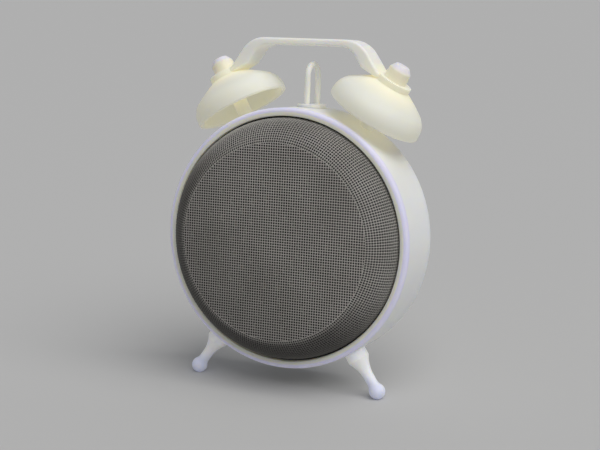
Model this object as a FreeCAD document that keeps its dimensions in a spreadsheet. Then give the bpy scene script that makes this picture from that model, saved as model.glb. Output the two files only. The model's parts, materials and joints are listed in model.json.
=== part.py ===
import FreeCAD, Part
import math
import os
import Sketcher

# A talking clock in the form of a twin bell alarm clock. A round speaker, covered
# with mesh cloth, looks out of the front of a shallow drum. The drum stands on two
# front legs and one rear leg and leans back a little. Two bells, a carrying handle
# and a wire striker stand on top. Keys, a switch, a volume wheel and the battery
# door are on the rear cover.
#
# Everything is laid out in the clock's own frame first: u to the right, v up along
# the drum's face, w out of the face towards the listener, zero at the centre of the
# front rim. One placement then leans the clock and sets it on the table plane.

# Driving dimensions in millimetres and degrees.
SIZES = {
    # Whole clock
    "lean_angle": 5.0,
    "cut_overrun": 1.0,
    "loose_gap": 0.3,
    "fit_gap": 0.2,
    "pin_gap": 0.05,
    # Drum
    "case_radius": 53.3,
    "case_depth": 28.3,
    "case_wall": 2.2,
    "case_front_round": 1.5,
    "case_back_round": 0.6,
    "case_lip_wall": 1.0,
    "rim_width": 3.3,
    "rim_depth": 2.0,
    "rim_inner_round": 0.4,
    # Speaker cloth and the perforated shell under it
    "cloth_side_gap": 0.4,
    "cloth_shoulder_width": 9.6,
    "cloth_proud": 10.8,
    "shoulder_radius": 14.5,
    "cloth_thickness": 0.45,
    "cloth_gap": 0.25,
    "grille_wall": 1.8,
    "grille_hole_radius": 1.4,
    "grille_first_ring": 12.0,
    "grille_last_inset": 4.4,
    # Inner frame behind the cloth
    "frame_flange_thickness": 1.6,
    "frame_wall_inset": 8.5,
    "frame_wall": 2.0,
    "baffle_front": 6.5,
    "baffle_thickness": 2.0,
    "baffle_hole_inset": 4.5,
    "post_inset": 5.6,
    "post_radius": 3.1,
    "post_angle": 45.0,
    "standoff_inset": 9.6,
    "standoff_radius": 2.2,
    "standoff_angle": 32.0,
    # Loudspeaker
    "gasket_thickness": 0.6,
    "basket_radius": 27.0,
    "basket_flange_width": 5.4,
    "basket_plate": 1.0,
    "basket_floor_overhang": 1.3,
    "basket_depth": 9.1,
    "basket_bore_radius": 8.4,
    "basket_window_width": 9.0,
    "basket_window_depth": 3.6,
    "top_plate_radius": 14.5,
    "top_plate_thickness": 2.0,
    "magnet_bore_radius": 8.5,
    "magnet_thickness": 3.0,
    "yoke_radius": 14.0,
    "yoke_thickness": 2.0,
    "pole_radius": 5.0,
    "coil_bore_radius": 5.35,
    "coil_radius": 5.85,
    "coil_air_gap": 0.45,
    "coil_length": 6.4,
    "cone_inset": 8.0,
    "cone_thickness": 0.6,
    "cone_neck_depth": 6.4,
    "cone_edge_width": 0.8,
    "surround_roll_radius": 1.4,
    "surround_roll_width": 2.6,
    "surround_thickness": 0.4,
    "cap_radius": 7.4,
    "cap_height": 2.0,
    "spider_thickness": 0.4,
    "spider_foot": 0.5,
    "spider_inset": 1.0,
    "speaker_screw_inset": 2.2,
    # Main board
    "board_front_gap": 0.8,
    "board_thickness": 1.6,
    "board_inset": 6.6,
    "board_flat_depth": 3.5,
    "chip_width": 12.0,
    "chip_height": 1.2,
    "capacitor_radius": 3.2,
    "capacitor_length": 6.5,
    # Rear cover
    "cover_thickness": 2.0,
    "cover_edge": 0.5,
    # Battery bay
    "cell_radius": 5.25,
    "cell_length": 43.7,
    "cell_nub_radius": 1.9,
    "cell_nub_length": 0.8,
    "cell_pitch": 11.2,
    "spring_space": 3.3,
    "tray_wall": 1.0,
    "tray_floor": 0.8,
    "tray_tab_width": 4.4,
    "tray_tab_length": 8.0,
    "tray_tab_thickness": 2.0,
    "contact_width": 7.0,
    "contact_thickness": 0.4,
    "door_ledge": 2.0,
    "door_thickness": 1.2,
    "door_travel": 5.5,
    "door_corner": 2.0,
    "door_tongue_width": 7.0,
    "door_tongue_length": 4.0,
    "door_tongue_thickness": 0.5,
    "door_tongue_spacing": 16.0,
    "door_rib_width": 16.0,
    "door_rib_height": 0.5,
    "door_rib_thickness": 0.9,
    "door_rib_pitch": 2.2,
    # Keys, switch and volume wheel
    "key_pitch": 9.0,
    "key_radius": 3.0,
    "key_proud": 1.2,
    "key_collar_radius": 3.9,
    "key_collar_thickness": 1.0,
    "key_stem_radius": 1.5,
    "key_travel": 0.8,
    "tact_width": 6.0,
    "tact_height": 3.5,
    "key_stem_entry": 0.5,
    "slider_width": 3.2,
    "slider_length": 4.0,
    "slider_proud": 1.0,
    "slider_travel": 5.0,
    "slider_foot_width": 6.0,
    "slider_foot_length": 13.0,
    "slider_foot_thickness": 1.0,
    "switch_height": 6.0,
    "wheel_radius": 6.8,
    "wheel_thickness": 3.2,
    "wheel_proud": 1.5,
    "wheel_door_gap": 0.45,
    "wheel_notch_radius": 0.5,
    "wheel_bore_radius": 1.5,
    "pot_width": 9.0,
    "pot_height": 5.6,
    # Bells, posts and knobs
    "bell_angle": 30.0,
    "bell_setback": 18.9,
    "bell_stand": 5.7,
    "bell_radius": 20.0,
    "bell_lip_height": 2.0,
    "bell_waist_height": 9.0,
    "bell_waist_radius": 16.4,
    "bell_height": 14.5,
    "bell_top_radius": 7.5,
    "bell_crown_radius": 74.0,
    "bell_wall": 2.2,
    "bell_inner_top_radius": 6.6,
    "bell_lip_round": 0.7,
    "bell_post_radius": 3.0,
    "stud_radius": 2.0,
    "stud_gap": 0.15,
    "stud_reach": 5.7,
    "nut_radius": 3.5,
    "nut_height": 2.4,
    "knob_foot_radius": 4.9,
    "knob_side_radius": 4.6,
    "knob_side_height": 4.4,
    "knob_top_radius": 2.9,
    "knob_height": 6.7,
    "knob_edge_round": 0.7,
    "knob_bore_depth": 3.9,
    # Handle
    "handle_rise": 15.4,
    "handle_bar_thickness": 2.9,
    "handle_arm_thickness": 5.3,
    "handle_corner_inset": 13.5,
    "handle_arm_angle": 33.7,
    "handle_width": 12.0,
    "handle_outer_round": 12.0,
    "handle_inner_round": 7.3,
    "handle_knee_round": 3.0,
    "handle_edge": 1.0,
    "handle_plate_radius": 7.6,
    "handle_plate_thickness": 2.4,
    # Striker
    "striker_offset": 2.2,
    "striker_wire_radius": 1.2,
    "striker_spread": 5.2,
    "striker_height": 18.7,
    "striker_pivot_inset": 2.6,
    "striker_swing": 9.0,
    "collar_width": 9.6,
    "collar_margin": 1.2,
    "collar_height": 1.6,
    "ear_width": 4.4,
    "ear_thickness": 4.0,
    "ear_drop": 2.1,
    "rocker_width": 4.8,
    "rocker_rise": 1.5,
    "rocker_tail": 5.1,
    "pivot_pin_radius": 1.0,
    "magnet_coil_radius": 4.0,
    "magnet_coil_flange": 8.6,
    "magnet_coil_flange_thickness": 0.8,
    "magnet_coil_length": 8.1,
    "magnet_coil_gap": 0.8,
    "magnet_core_radius": 2.0,
    # Legs
    "leg_angle": 34.7,
    "leg_setback": 7.2,
    "leg_length": 18.35,
    "foot_radius": 3.3,
    "foot_flat": 0.3,
    "leg_neck_radius": 2.15,
    "leg_blend_radius": 4.0,
    "leg_neck_end": 6.6,
    "leg_cup_radius": 4.5,
    "leg_cup_height": 3.7,
    "rear_leg_slope": 35.0,
    "rear_foot_reach": 27.7,
    "leg_screw_radius": 1.5,
    "leg_screw_drop": 2.3,
    "leg_screw_depth": 6.5,
    # Screws
    "screw_radius": 1.2,
    "screw_gap": 0.15,
    "screw_length": 9.0,
    "screw_head_radius": 2.6,
    "screw_head_height": 1.5,
    "small_screw_radius": 0.9,
    "small_screw_length": 4.0,
    "small_head_radius": 1.7,
    "small_head_height": 1.0,
    "recess_width": 0.7,
    "recess_length": 2.8,
    "recess_depth": 0.7,
    # Leads
    "lead_radius": 0.5,
    "lead_bend": 2.0,
    "lead_spacing": 1.6,
    "lead_drop": 5.4,
    "lead_stand": 4.0,
}

# Counts
GRILLE_RING_COUNT = 5
GRILLE_HOLE_COUNT = 18
WHEEL_NOTCH_COUNT = 24
CELL_COUNT = 3
DOOR_RIB_COUNT = 3
KEY_NAMES = ("alarm_key", "minute_key", "hour_key", "talk_key")
SIDES = (("left", -1), ("right", 1))

doc = FreeCAD.newDocument("TalkingClock")
sheet = doc.addObject("Spreadsheet::Sheet", "Sizes")
parts = []


class Size:
    """A number that keeps the sheet expression that it comes from."""

    def __init__(self, value, text):
        self.value = float(value)
        self.text = text

    def __float__(self):
        return self.value

    def __add__(self, other):
        other = as_size(other)
        return Size(self.value + other.value, "(%s + %s)" % (self.text, other.text))

    def __radd__(self, other):
        return as_size(other) + self

    def __sub__(self, other):
        other = as_size(other)
        return Size(self.value - other.value, "(%s - %s)" % (self.text, other.text))

    def __rsub__(self, other):
        return as_size(other) - self

    def __mul__(self, other):
        other = as_size(other)
        return Size(self.value * other.value, "(%s * %s)" % (self.text, other.text))

    def __rmul__(self, other):
        return as_size(other) * self

    def __truediv__(self, other):
        other = as_size(other)
        return Size(self.value / other.value, "(%s / %s)" % (self.text, other.text))

    def __neg__(self):
        return Size(-self.value, "(0 - %s)" % self.text)

    def root(self):
        return Size(math.sqrt(self.value), "sqrt(%s)" % self.text)

    def cos(self):
        return Size(math.cos(math.radians(self.value)), "cos(%s * 1 deg)" % self.text)

    def sin(self):
        return Size(math.sin(math.radians(self.value)), "sin(%s * 1 deg)" % self.text)

    def tan(self):
        return self.sin() / self.cos()


def as_size(number):
    """Wrap a plain number so that it can join a sum of sizes."""
    if isinstance(number, Size):
        return number
    return Size(number, "(%r)" % number)


class Sizes:
    """The driving dimensions, read by name."""

    def __init__(self, table):
        row = 1
        for name, value in table.items():
            sheet.set("A%d" % row, name)
            sheet.set("B%d" % row, "%g" % value)
            sheet.setAlias("B%d" % row, name)
            setattr(self, name, Size(value, "Sizes." + name))
            row += 1


s = Sizes(SIZES)
doc.recompute()


def vector(u, v, w):
    return FreeCAD.Vector(float(u), float(v), float(w))


U_AXIS = vector(1, 0, 0)
V_AXIS = vector(0, 1, 0)
W_AXIS = vector(0, 0, 1)
BACK = vector(0, 0, -1)


def keep(label, feature):
    """Name a finished piece of the clock and put it on the list of pieces."""
    feature.Label = label
    parts.append(feature)
    return feature


# Sketch and body helpers

def origin_plane(body, role):
    for plane in body.Origin.OriginFeatures:
        if plane.Role == role:
            return plane
    raise ValueError("no plane " + role)


def new_sketch(body, name, role, height=None):
    """A sketch on one of the body's own planes, or at a height above it."""
    sketch = body.newObject("Sketcher::SketchObject", name)
    sketch.AttachmentSupport = [(origin_plane(body, role), "")]
    sketch.MapMode = "FlatFace"
    if height is not None:
        sketch.setExpression(".AttachmentOffset.Base.z", height.text)
    return sketch


def bind_point(sketch, geometry, position, x, y):
    """Tie a sketch point's two coordinates to their sizes."""
    for kind, axis, coordinate in (("DistanceX", -2, x), ("DistanceY", -1, y)):
        if coordinate is None:
            sketch.addConstraint(Sketcher.Constraint("PointOnObject", geometry, position, axis))
        else:
            index = sketch.addConstraint(
                Sketcher.Constraint(kind, -1, 1, geometry, position, float(coordinate)))
            sketch.setExpression("Constraints[%d]" % index, coordinate.text)


def flat(x, y):
    """A sketch position in the sketch's own plane."""
    return FreeCAD.Vector(x, y, 0)


def arc_between(start, end, radius, side):
    """The short arc between two points; side is +1 where it turns left, -1 right."""
    chord = end - start
    middle = (start + end) * 0.5
    half = chord.Length / 2
    across = flat(-chord.y, chord.x).normalize()
    rise = math.sqrt(max(radius * radius - half * half, 0))
    centre = middle + across * (rise * side)
    first, last = (start, end) if side > 0 else (end, start)
    angles = [math.atan2(point.y - centre.y, point.x - centre.x) for point in (first, last)]
    if angles[1] < angles[0]:
        angles[1] += 2 * math.pi
    circle = Part.Circle(centre, flat(0, 0) + W_AXIS, radius)
    return Part.ArcOfCircle(circle, angles[0], angles[1])


def draw_outline(sketch, corners, start_corner=None):
    """Draw a closed outline, or an open path if it has a start of its own. A corner
    is (x, y), or (x, y, radius, side) where the run that leads to it is an arc. None
    stands for zero."""
    first_corner = start_corner or corners[-1]
    spots = [flat(float(c[0] or 0), float(c[1] or 0)) for c in [first_corner] + corners]
    ends = []
    for index, corner in enumerate(corners):
        start = spots[index]
        end = spots[index + 1]
        if len(corner) == 2:
            geometry = sketch.addGeometry(Part.LineSegment(start, end), False)
            ends.append((geometry, 1, 2))
        else:
            radius, side = corner[2], corner[3]
            arc = arc_between(start, end, float(radius), side)
            geometry = sketch.addGeometry(arc, False)
            ends.append((geometry, 1, 2) if side > 0 else (geometry, 2, 1))
            bound = sketch.addConstraint(Sketcher.Constraint("Radius", geometry, float(radius)))
            sketch.setExpression("Constraints[%d]" % bound, radius.text)
    for index, corner in enumerate(corners):
        geometry, first, last = ends[index]
        if start_corner is None or index + 1 < len(ends):
            following, following_first, following_last = ends[(index + 1) % len(ends)]
            sketch.addConstraint(
                Sketcher.Constraint("Coincident", geometry, last, following, following_first))
        bind_point(sketch, geometry, last, corner[0], corner[1])
    if start_corner is not None:
        bind_point(sketch, ends[0][0], ends[0][1], start_corner[0], start_corner[1])


def draw_circle(sketch, x, y, radius):
    circle = Part.Circle(flat(float(x or 0), float(y or 0)), W_AXIS, float(radius))
    geometry = sketch.addGeometry(circle, False)
    bind_point(sketch, geometry, 3, x, y)
    bound = sketch.addConstraint(Sketcher.Constraint("Radius", geometry, float(radius)))
    sketch.setExpression("Constraints[%d]" % bound, radius.text)


def turned(name, corners):
    """A body turned about its own Z axis from an outline of radius and height."""
    body = doc.addObject("PartDesign::Body", name)
    sketch = new_sketch(body, name + "_outline", "XZ_Plane")
    draw_outline(sketch, corners)
    turn = body.newObject("PartDesign::Revolution", name + "_turn")
    turn.Profile = sketch
    turn.ReferenceAxis = (sketch, ["V_Axis"])
    turn.Angle = 360
    return body


def slab(name, corners, low, high):
    """A body padded from a closed outline in u and v, between two values of w."""
    body = doc.addObject("PartDesign::Body", name)
    sketch = new_sketch(body, name + "_outline", "XY_Plane", low)
    draw_outline(sketch, corners)
    pad = body.newObject("PartDesign::Pad", name + "_pad")
    pad.Profile = sketch
    pad.setExpression("Length", (high - low).text)
    return body


def rounded_edges(body, name, chosen, radius):
    """Fillet the edges of the body's newest feature that the test picks."""
    doc.recompute()
    base = body.Tip
    edges = ["Edge%d" % (i + 1) for i, edge in enumerate(base.Shape.Edges) if chosen(edge)]
    fillet = body.newObject("PartDesign::Fillet", name)
    fillet.Base = (base, edges)
    fillet.setExpression("Radius", radius.text)
    return fillet


def rod(name, radius, start, end):
    """A cylinder between two points of (u, v, w)."""
    start = [as_size(value) for value in start]
    end = [as_size(value) for value in end]
    square = as_size(0)
    for first, last in zip(start, end):
        if first.text != last.text:
            square = square + (last - first) * (last - first)
    cylinder = doc.addObject("Part::Cylinder", name)
    cylinder.setExpression("Radius", radius.text)
    cylinder.setExpression("Height", square.root().text)
    foot = vector(*start)
    cylinder.Placement = FreeCAD.Placement(foot, FreeCAD.Rotation(W_AXIS, vector(*end) - foot))
    return cylinder


def block(name, low, high):
    """A box between two corners of (u, v, w)."""
    low = [as_size(value) for value in low]
    high = [as_size(value) for value in high]
    box = doc.addObject("Part::Box", name)
    for side, first, last in zip(("Length", "Width", "Height"), low, high):
        box.setExpression(side, (last - first).text)
    box.Placement.Base = vector(*low)
    return box


def fused(name, shapes):
    fuse = doc.addObject("Part::MultiFuse", name)
    fuse.Shapes = shapes
    fuse.Refine = True
    return fuse


def cut(name, base, tools):
    result = doc.addObject("Part::Cut", name)
    result.Base = base
    result.Tool = tools[0] if len(tools) == 1 else fused(name + "_tools", tools)
    result.Refine = True
    return result


def grouped(name, shapes):
    """Identical pieces that share one name and stay separate solids."""
    group = doc.addObject("Part::Compound", name)
    group.Links = shapes
    return group


def on_circle(radius, degrees):
    """The u and v of a point on a circle about the drum's axis."""
    turn = degrees if isinstance(degrees, Size) else as_size(degrees)
    return radius * turn.cos(), radius * turn.sin()


def four_corners(angle):
    """The four angles that mirror one angle left to right and top to bottom."""
    return (angle, 180 - angle, 180 + angle, 360 - angle)


# Levels along w that several pieces share
case_inner = s.case_radius - s.case_wall
case_back = -s.case_depth
cover_face = case_back + s.cover_thickness
frame_front = -s.rim_depth
frame_back = frame_front - s.frame_flange_thickness
baffle_back = s.baffle_front - s.baffle_thickness
speaker_front = baffle_back - s.gasket_thickness
speaker_seat = speaker_front - s.basket_depth
magnet_front = speaker_seat - s.top_plate_thickness
yoke_front = magnet_front - s.magnet_thickness
speaker_back = yoke_front - s.yoke_thickness
board_front = speaker_back - s.board_front_gap
board_back = board_front - s.board_thickness

# Distances from the drum's axis that several pieces share
rim_radius = s.case_radius - s.rim_width
cloth_side_radius = rim_radius - s.cloth_side_gap
cloth_flat_radius = cloth_side_radius - s.cloth_shoulder_width
frame_wall_radius = rim_radius - s.frame_wall_inset
post_circle = case_inner - s.post_inset
standoff_circle = case_inner - s.standoff_inset
baffle_hole_radius = s.basket_radius - s.baffle_hole_inset
basket_inner_radius = s.basket_radius - s.basket_flange_width
basket_floor_radius = s.top_plate_radius + s.basket_floor_overhang
cone_radius = s.basket_radius - s.cone_inset
spider_radius = basket_floor_radius - s.spider_inset
speaker_screw_circle = s.basket_radius - s.speaker_screw_inset
board_radius = case_inner - s.board_inset
bell_rim_distance = s.case_radius + s.bell_stand
striker_pivot = case_inner - s.striker_pivot_inset
leg_reach = s.case_radius + s.leg_length


# Bell axis: both bells lean out along radii of the drum

def bell_point(side, distance, setback=None):
    """The point at a distance from the drum's axis along a bell's own axis."""
    return (side * distance * s.bell_angle.sin(),
            distance * s.bell_angle.cos(),
            -(setback or s.bell_setback))


def leg_point(side, distance):
    """The point at a distance from the drum's axis along a front leg."""
    return (side * distance * s.leg_angle.sin(),
            -distance * s.leg_angle.cos(),
            -s.leg_setback)


def radial_placement(point, outward=True):
    """Set a turned piece's Z axis along the radius through a point."""
    place = vector(*point)
    radius = vector(point[0], point[1], 0)
    return FreeCAD.Placement(place, FreeCAD.Rotation(W_AXIS, radius if outward else -radius))


# Case shell

def make_case_shell():
    """The drum: a thin wall with a front rim, a rear seat for the cover, holes for
    the studs and the striker, and the ear that carries the striker's pin."""
    front = s.case_front_round
    back = s.case_back_round
    inner = s.rim_inner_round
    seat = s.case_radius - s.case_lip_wall
    wall = turned("case_wall", [
        (rim_radius, -inner),
        (rim_radius + inner, None, inner, -1),
        (s.case_radius - front, None),
        (s.case_radius, -front, front, -1),
        (s.case_radius, case_back + back),
        (s.case_radius - back, case_back, back, -1),
        (seat, case_back),
        (seat, cover_face),
        (case_inner, cover_face),
        (case_inner, frame_front),
        (rim_radius, frame_front),
    ])
    middle = -s.bell_setback
    half_ear = s.ear_thickness / 2
    ear = block("case_ear",
                (s.striker_offset - s.ear_width / 2, striker_pivot - s.ear_drop, middle - half_ear),
                (s.striker_offset + s.ear_width / 2, case_inner + s.case_wall / 2, middle + half_ear))
    tools = [rod("ear_bore", s.pivot_pin_radius + s.pin_gap,
                 (s.striker_offset, striker_pivot, middle - s.ear_thickness),
                 (s.striker_offset, striker_pivot, middle + s.ear_thickness))]
    for word, side in SIDES:
        tools.append(rod("bell_hole_" + word, s.stud_radius + s.stud_gap,
                         bell_point(side, case_inner - s.cut_overrun),
                         bell_point(side, s.case_radius + s.cut_overrun)))
        tools.append(rod("leg_hole_" + word, s.stud_radius + s.stud_gap,
                         leg_point(side, case_inner - s.cut_overrun),
                         leg_point(side, s.case_radius + s.cut_overrun)))
        tools.append(striker_slot("case_slot_" + word, side, s.case_radius + s.cut_overrun))
    keep("case_shell", cut("CaseShell", fused("case_with_ear", [wall, ear]), tools))


def striker_slot(name, side, top):
    """The slot that lets one leg of the striker swing."""
    swing = (top - striker_pivot) * s.striker_swing.tan()
    half_width = s.striker_wire_radius + swing + s.fit_gap
    half_length = s.striker_wire_radius + s.loose_gap
    middle = -s.bell_setback + side * s.striker_spread
    return block(name,
                 (s.striker_offset - half_width, case_inner - s.cut_overrun, middle - half_length),
                 (s.striker_offset + half_width, top, middle + half_length))


# Cloth and perforated shell

def shoulder_centre():
    """The centre of the rounded shoulder, whose arc would end upright at the side."""
    centre_r = cloth_side_radius - s.shoulder_radius
    run = cloth_flat_radius - centre_r
    return centre_r, s.cloth_proud - (s.shoulder_radius * s.shoulder_radius - run * run).root()


def shoulder_r(inset, level):
    """The distance from the drum's axis of a shoulder at a level, for a layer that
    lies at an inset from the cloth's outer face."""
    centre_r, centre_w = shoulder_centre()
    radius = s.shoulder_radius - inset
    rise = level - centre_w
    return centre_r + (radius * radius - rise * rise).root()


def shell_outline(outer, inner, end):
    """The outline of a thin cover between two insets, down to an end level."""
    outer_w = s.cloth_proud - outer
    inner_w = s.cloth_proud - inner
    return [
        (None, inner_w),
        (None, outer_w),
        (shoulder_r(outer, outer_w), outer_w),
        (shoulder_r(outer, end), end, s.shoulder_radius - outer, -1),
        (shoulder_r(inner, end), end),
        (shoulder_r(inner, inner_w), inner_w, s.shoulder_radius - inner, 1),
    ]


def make_cloth():
    """The speaker cloth, stretched over the shell and tucked in at the rim."""
    end = frame_front + s.loose_gap
    body = turned("GrilleCloth", shell_outline(as_size(0), s.cloth_thickness, end))
    keep("grille_cloth", body)


def make_grille_shell():
    """The hard shell under the cloth, with rings of sound holes in its flat front."""
    outer = s.cloth_thickness + s.cloth_gap
    body = turned("GrilleShell", shell_outline(outer, outer + s.grille_wall, frame_front))
    doc.recompute()
    solid_volume = body.Shape.Volume
    sketch = new_sketch(body, "grille_hole_row", "XY_Plane", s.cloth_proud)
    last_ring = cloth_flat_radius - s.grille_last_inset
    ring_step = (last_ring - s.grille_first_ring) / (GRILLE_RING_COUNT - 1)
    for ring in range(GRILLE_RING_COUNT):
        draw_circle(sketch, s.grille_first_ring + ring_step * ring, None, s.grille_hole_radius)
    pocket = body.newObject("PartDesign::Pocket", "grille_holes")
    pocket.Profile = sketch
    pocket.setExpression("Length", (outer + s.grille_wall + s.cut_overrun).text)
    pattern = body.newObject("PartDesign::PolarPattern", "grille_hole_rings")
    pattern.Originals = [pocket]
    pattern.Axis = (sketch, ["N_Axis"])
    pattern.Angle = 360
    pattern.Occurrences = GRILLE_HOLE_COUNT
    body.Tip = pattern
    doc.recompute()
    if body.Shape.Volume >= solid_volume:
        raise ValueError("the grille holes cut nothing")
    keep("grille_shell", body)


# Inner frame

def make_front_frame():
    """The frame that carries the shell, the loudspeaker and the board. Its flange
    rests on the back of the case rim and its four posts reach the rear cover."""
    inner_wall = frame_wall_radius - s.frame_wall
    rim = turned("frame_ring", [
        (baffle_hole_radius, s.baffle_front),
        (frame_wall_radius, s.baffle_front),
        (frame_wall_radius, frame_front),
        (case_inner - s.loose_gap, frame_front),
        (case_inner - s.loose_gap, frame_back),
        (inner_wall, frame_back),
        (inner_wall, baffle_back),
        (baffle_hole_radius, baffle_back),
    ])
    solids = [rim]
    tools = []
    for angle in four_corners(s.post_angle):
        u, v = on_circle(post_circle, angle)
        solids.append(rod("frame_post", s.post_radius, (u, v, frame_back), (u, v, cover_face)))
        tools.append(rod("post_bore", s.screw_radius, (u, v, cover_face - s.cut_overrun),
                         (u, v, cover_face + s.screw_length)))
    for angle in four_corners(s.standoff_angle):
        u, v = on_circle(standoff_circle, angle)
        solids.append(rod("board_standoff", s.standoff_radius,
                          (u, v, frame_back), (u, v, board_front)))
        tools.append(rod("standoff_bore", s.small_screw_radius,
                         (u, v, board_front - s.cut_overrun),
                         (u, v, board_front + s.small_screw_length)))
    for angle in four_corners(s.post_angle):
        u, v = on_circle(speaker_screw_circle, angle)
        tools.append(rod("baffle_bore", s.small_screw_radius,
                         (u, v, baffle_back - s.cut_overrun),
                         (u, v, baffle_back + s.baffle_thickness / 2)))
    keep("front_frame", cut("FrontFrame", fused("frame_solids", solids), tools))


# Loudspeaker

def make_speaker():
    hole = s.small_screw_radius + s.screw_gap
    gasket = turned("gasket_ring", [
        (baffle_hole_radius + s.fit_gap, speaker_front),
        (baffle_hole_radius + s.fit_gap, baffle_back),
        (s.basket_radius, baffle_back),
        (s.basket_radius, speaker_front),
    ])
    flange_back = speaker_front - s.basket_plate
    neck_front = speaker_seat + s.basket_plate
    slope = s.basket_plate + s.fit_gap
    basket = turned("basket_turned", [
        (basket_inner_radius, speaker_front),
        (s.basket_radius, speaker_front),
        (s.basket_radius, flange_back),
        (basket_inner_radius + slope, flange_back),
        (basket_floor_radius, speaker_seat),
        (s.basket_bore_radius, speaker_seat),
        (s.basket_bore_radius, neck_front),
        (basket_floor_radius - slope / 2, neck_front),
        (basket_inner_radius, flange_back + s.basket_plate / 2),
    ])
    gasket_holes = []
    basket_holes = []
    screws = []
    for angle in four_corners(s.post_angle):
        u, v = on_circle(speaker_screw_circle, angle)
        gasket_holes.append(rod("gasket_hole", hole, (u, v, flange_back),
                                (u, v, baffle_back + s.cut_overrun)))
        basket_holes.append(rod("basket_hole", hole, (u, v, flange_back - s.cut_overrun),
                                (u, v, speaker_front + s.cut_overrun)))
        length = s.basket_plate + s.gasket_thickness + s.baffle_thickness / 2
        screws.append(screw("speaker_screw", s.small_screw_radius, length,
                            s.small_head_radius, s.small_head_height, (u, v, flange_back), 1))
    window_low = flange_back - s.fit_gap - s.basket_window_depth
    window_high = flange_back - s.fit_gap
    reach = s.basket_radius
    half = s.basket_window_width / 2
    basket_holes.append(block("basket_window_across", (-reach, -half, window_low),
                              (reach, half, window_high)))
    basket_holes.append(block("basket_window_up", (-half, -reach, window_low),
                              (half, reach, window_high)))
    keep("speaker_gasket", cut("SpeakerGasket", gasket, gasket_holes))
    keep("speaker_basket", cut("SpeakerBasket", basket, basket_holes))
    keep("speaker_screws", grouped("SpeakerScrews", screws))

    plate_bore = s.coil_radius + s.coil_air_gap
    keep("speaker_top_plate", turned("SpeakerTopPlate", [
        (plate_bore, magnet_front),
        (plate_bore, speaker_seat),
        (s.top_plate_radius, speaker_seat),
        (s.top_plate_radius, magnet_front),
    ]))
    keep("speaker_magnet", turned("SpeakerMagnet", [
        (s.magnet_bore_radius, yoke_front),
        (s.magnet_bore_radius, magnet_front),
        (s.top_plate_radius, magnet_front),
        (s.top_plate_radius, yoke_front),
    ]))
    keep("speaker_yoke", turned("SpeakerYoke", [
        (None, speaker_back),
        (None, speaker_seat),
        (s.pole_radius, speaker_seat),
        (s.pole_radius, yoke_front),
        (s.yoke_radius, yoke_front),
        (s.yoke_radius, speaker_back),
    ]))
    make_cone()


def make_cone():
    """The moving parts of the loudspeaker and the two rings that centre them. The
    rings stay a travel's width clear of the cone."""
    edge_front = speaker_front - s.loose_gap
    edge_back = edge_front - s.cone_thickness
    neck_back = edge_front - s.cone_neck_depth
    edge_inner = cone_radius - s.cone_edge_width
    wall = s.cone_thickness
    keep("speaker_cone", turned("SpeakerCone", [
        (s.coil_radius, neck_back),
        (s.coil_radius, neck_back + wall),
        (edge_inner, edge_front),
        (cone_radius, edge_front),
        (cone_radius, edge_back),
        (edge_inner, edge_back),
    ]))
    coil_top = neck_back + wall
    keep("voice_coil", turned("VoiceCoil", [
        (s.coil_bore_radius, coil_top - s.coil_length),
        (s.coil_bore_radius, coil_top),
        (s.coil_radius, coil_top),
        (s.coil_radius, coil_top - s.coil_length),
    ]))
    # The cap sits on the cone where the cone has the cap's radius.
    cone_rise = (s.cone_neck_depth - wall) / (edge_inner - s.coil_radius)
    cap_foot = coil_top + cone_rise * (s.cap_radius - s.coil_radius) + s.pin_gap
    cap_square = s.cap_radius * s.cap_radius + s.cap_height * s.cap_height
    cap_sphere = cap_square / (s.cap_height * 2)
    inner_cap = s.cap_radius - wall
    inner_height = s.cap_height - wall
    inner_square = inner_cap * inner_cap + inner_height * inner_height
    inner_sphere = inner_square / (inner_height * 2)
    keep("dust_cap", turned("DustCap", [
        (None, cap_foot + s.cap_height),
        (s.cap_radius, cap_foot, cap_sphere, -1),
        (inner_cap, cap_foot),
        (None, cap_foot + inner_height, inner_sphere, 1),
    ]))
    # The surround is a round roll between the cone's edge and the basket's flange.
    thick = s.surround_thickness
    roll = s.surround_roll_radius
    inner_roll = roll - thick
    half = s.surround_roll_width / 2
    sunk = (roll * roll - half * half).root()
    inner_half = (inner_roll * inner_roll - (sunk - thick) * (sunk - thick)).root()
    lip = speaker_front + thick
    crest = cone_radius + s.pin_gap + half
    keep("speaker_surround", turned("SpeakerSurround", [
        (edge_inner, speaker_front),
        (edge_inner, lip),
        (crest - half, lip),
        (crest + half, lip, roll, -1),
        (baffle_hole_radius, lip),
        (baffle_hole_radius, speaker_front),
        (crest + inner_half, speaker_front),
        (crest - inner_half, speaker_front, inner_roll, 1),
    ]))
    # The spider is a flat ring with a foot on the basket's floor.
    spider_floor = speaker_seat + s.basket_plate
    spider_low = spider_floor + s.spider_foot
    spider_high = spider_low + s.spider_thickness
    foot_inner = spider_radius - s.spider_foot
    keep("speaker_spider", turned("SpeakerSpider", [
        (s.coil_radius + s.pin_gap, spider_low),
        (s.coil_radius + s.pin_gap, spider_high),
        (spider_radius, spider_high),
        (spider_radius, spider_floor),
        (foot_inner, spider_floor),
        (foot_inner, spider_low),
    ]))


def screw(name, radius, length, head_radius, head_height, seat, direction):
    """A screw along w: its head stands behind the seat, its shank runs forwards."""
    u, v, w = seat
    shank = rod(name + "_shank", radius, (u, v, w), (u, v, w + direction * length))
    head = rod(name + "_head", head_radius, (u, v, w), (u, v, w - direction * head_height))
    return fused(name, [shank, head])


# Board and what is soldered to it

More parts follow.
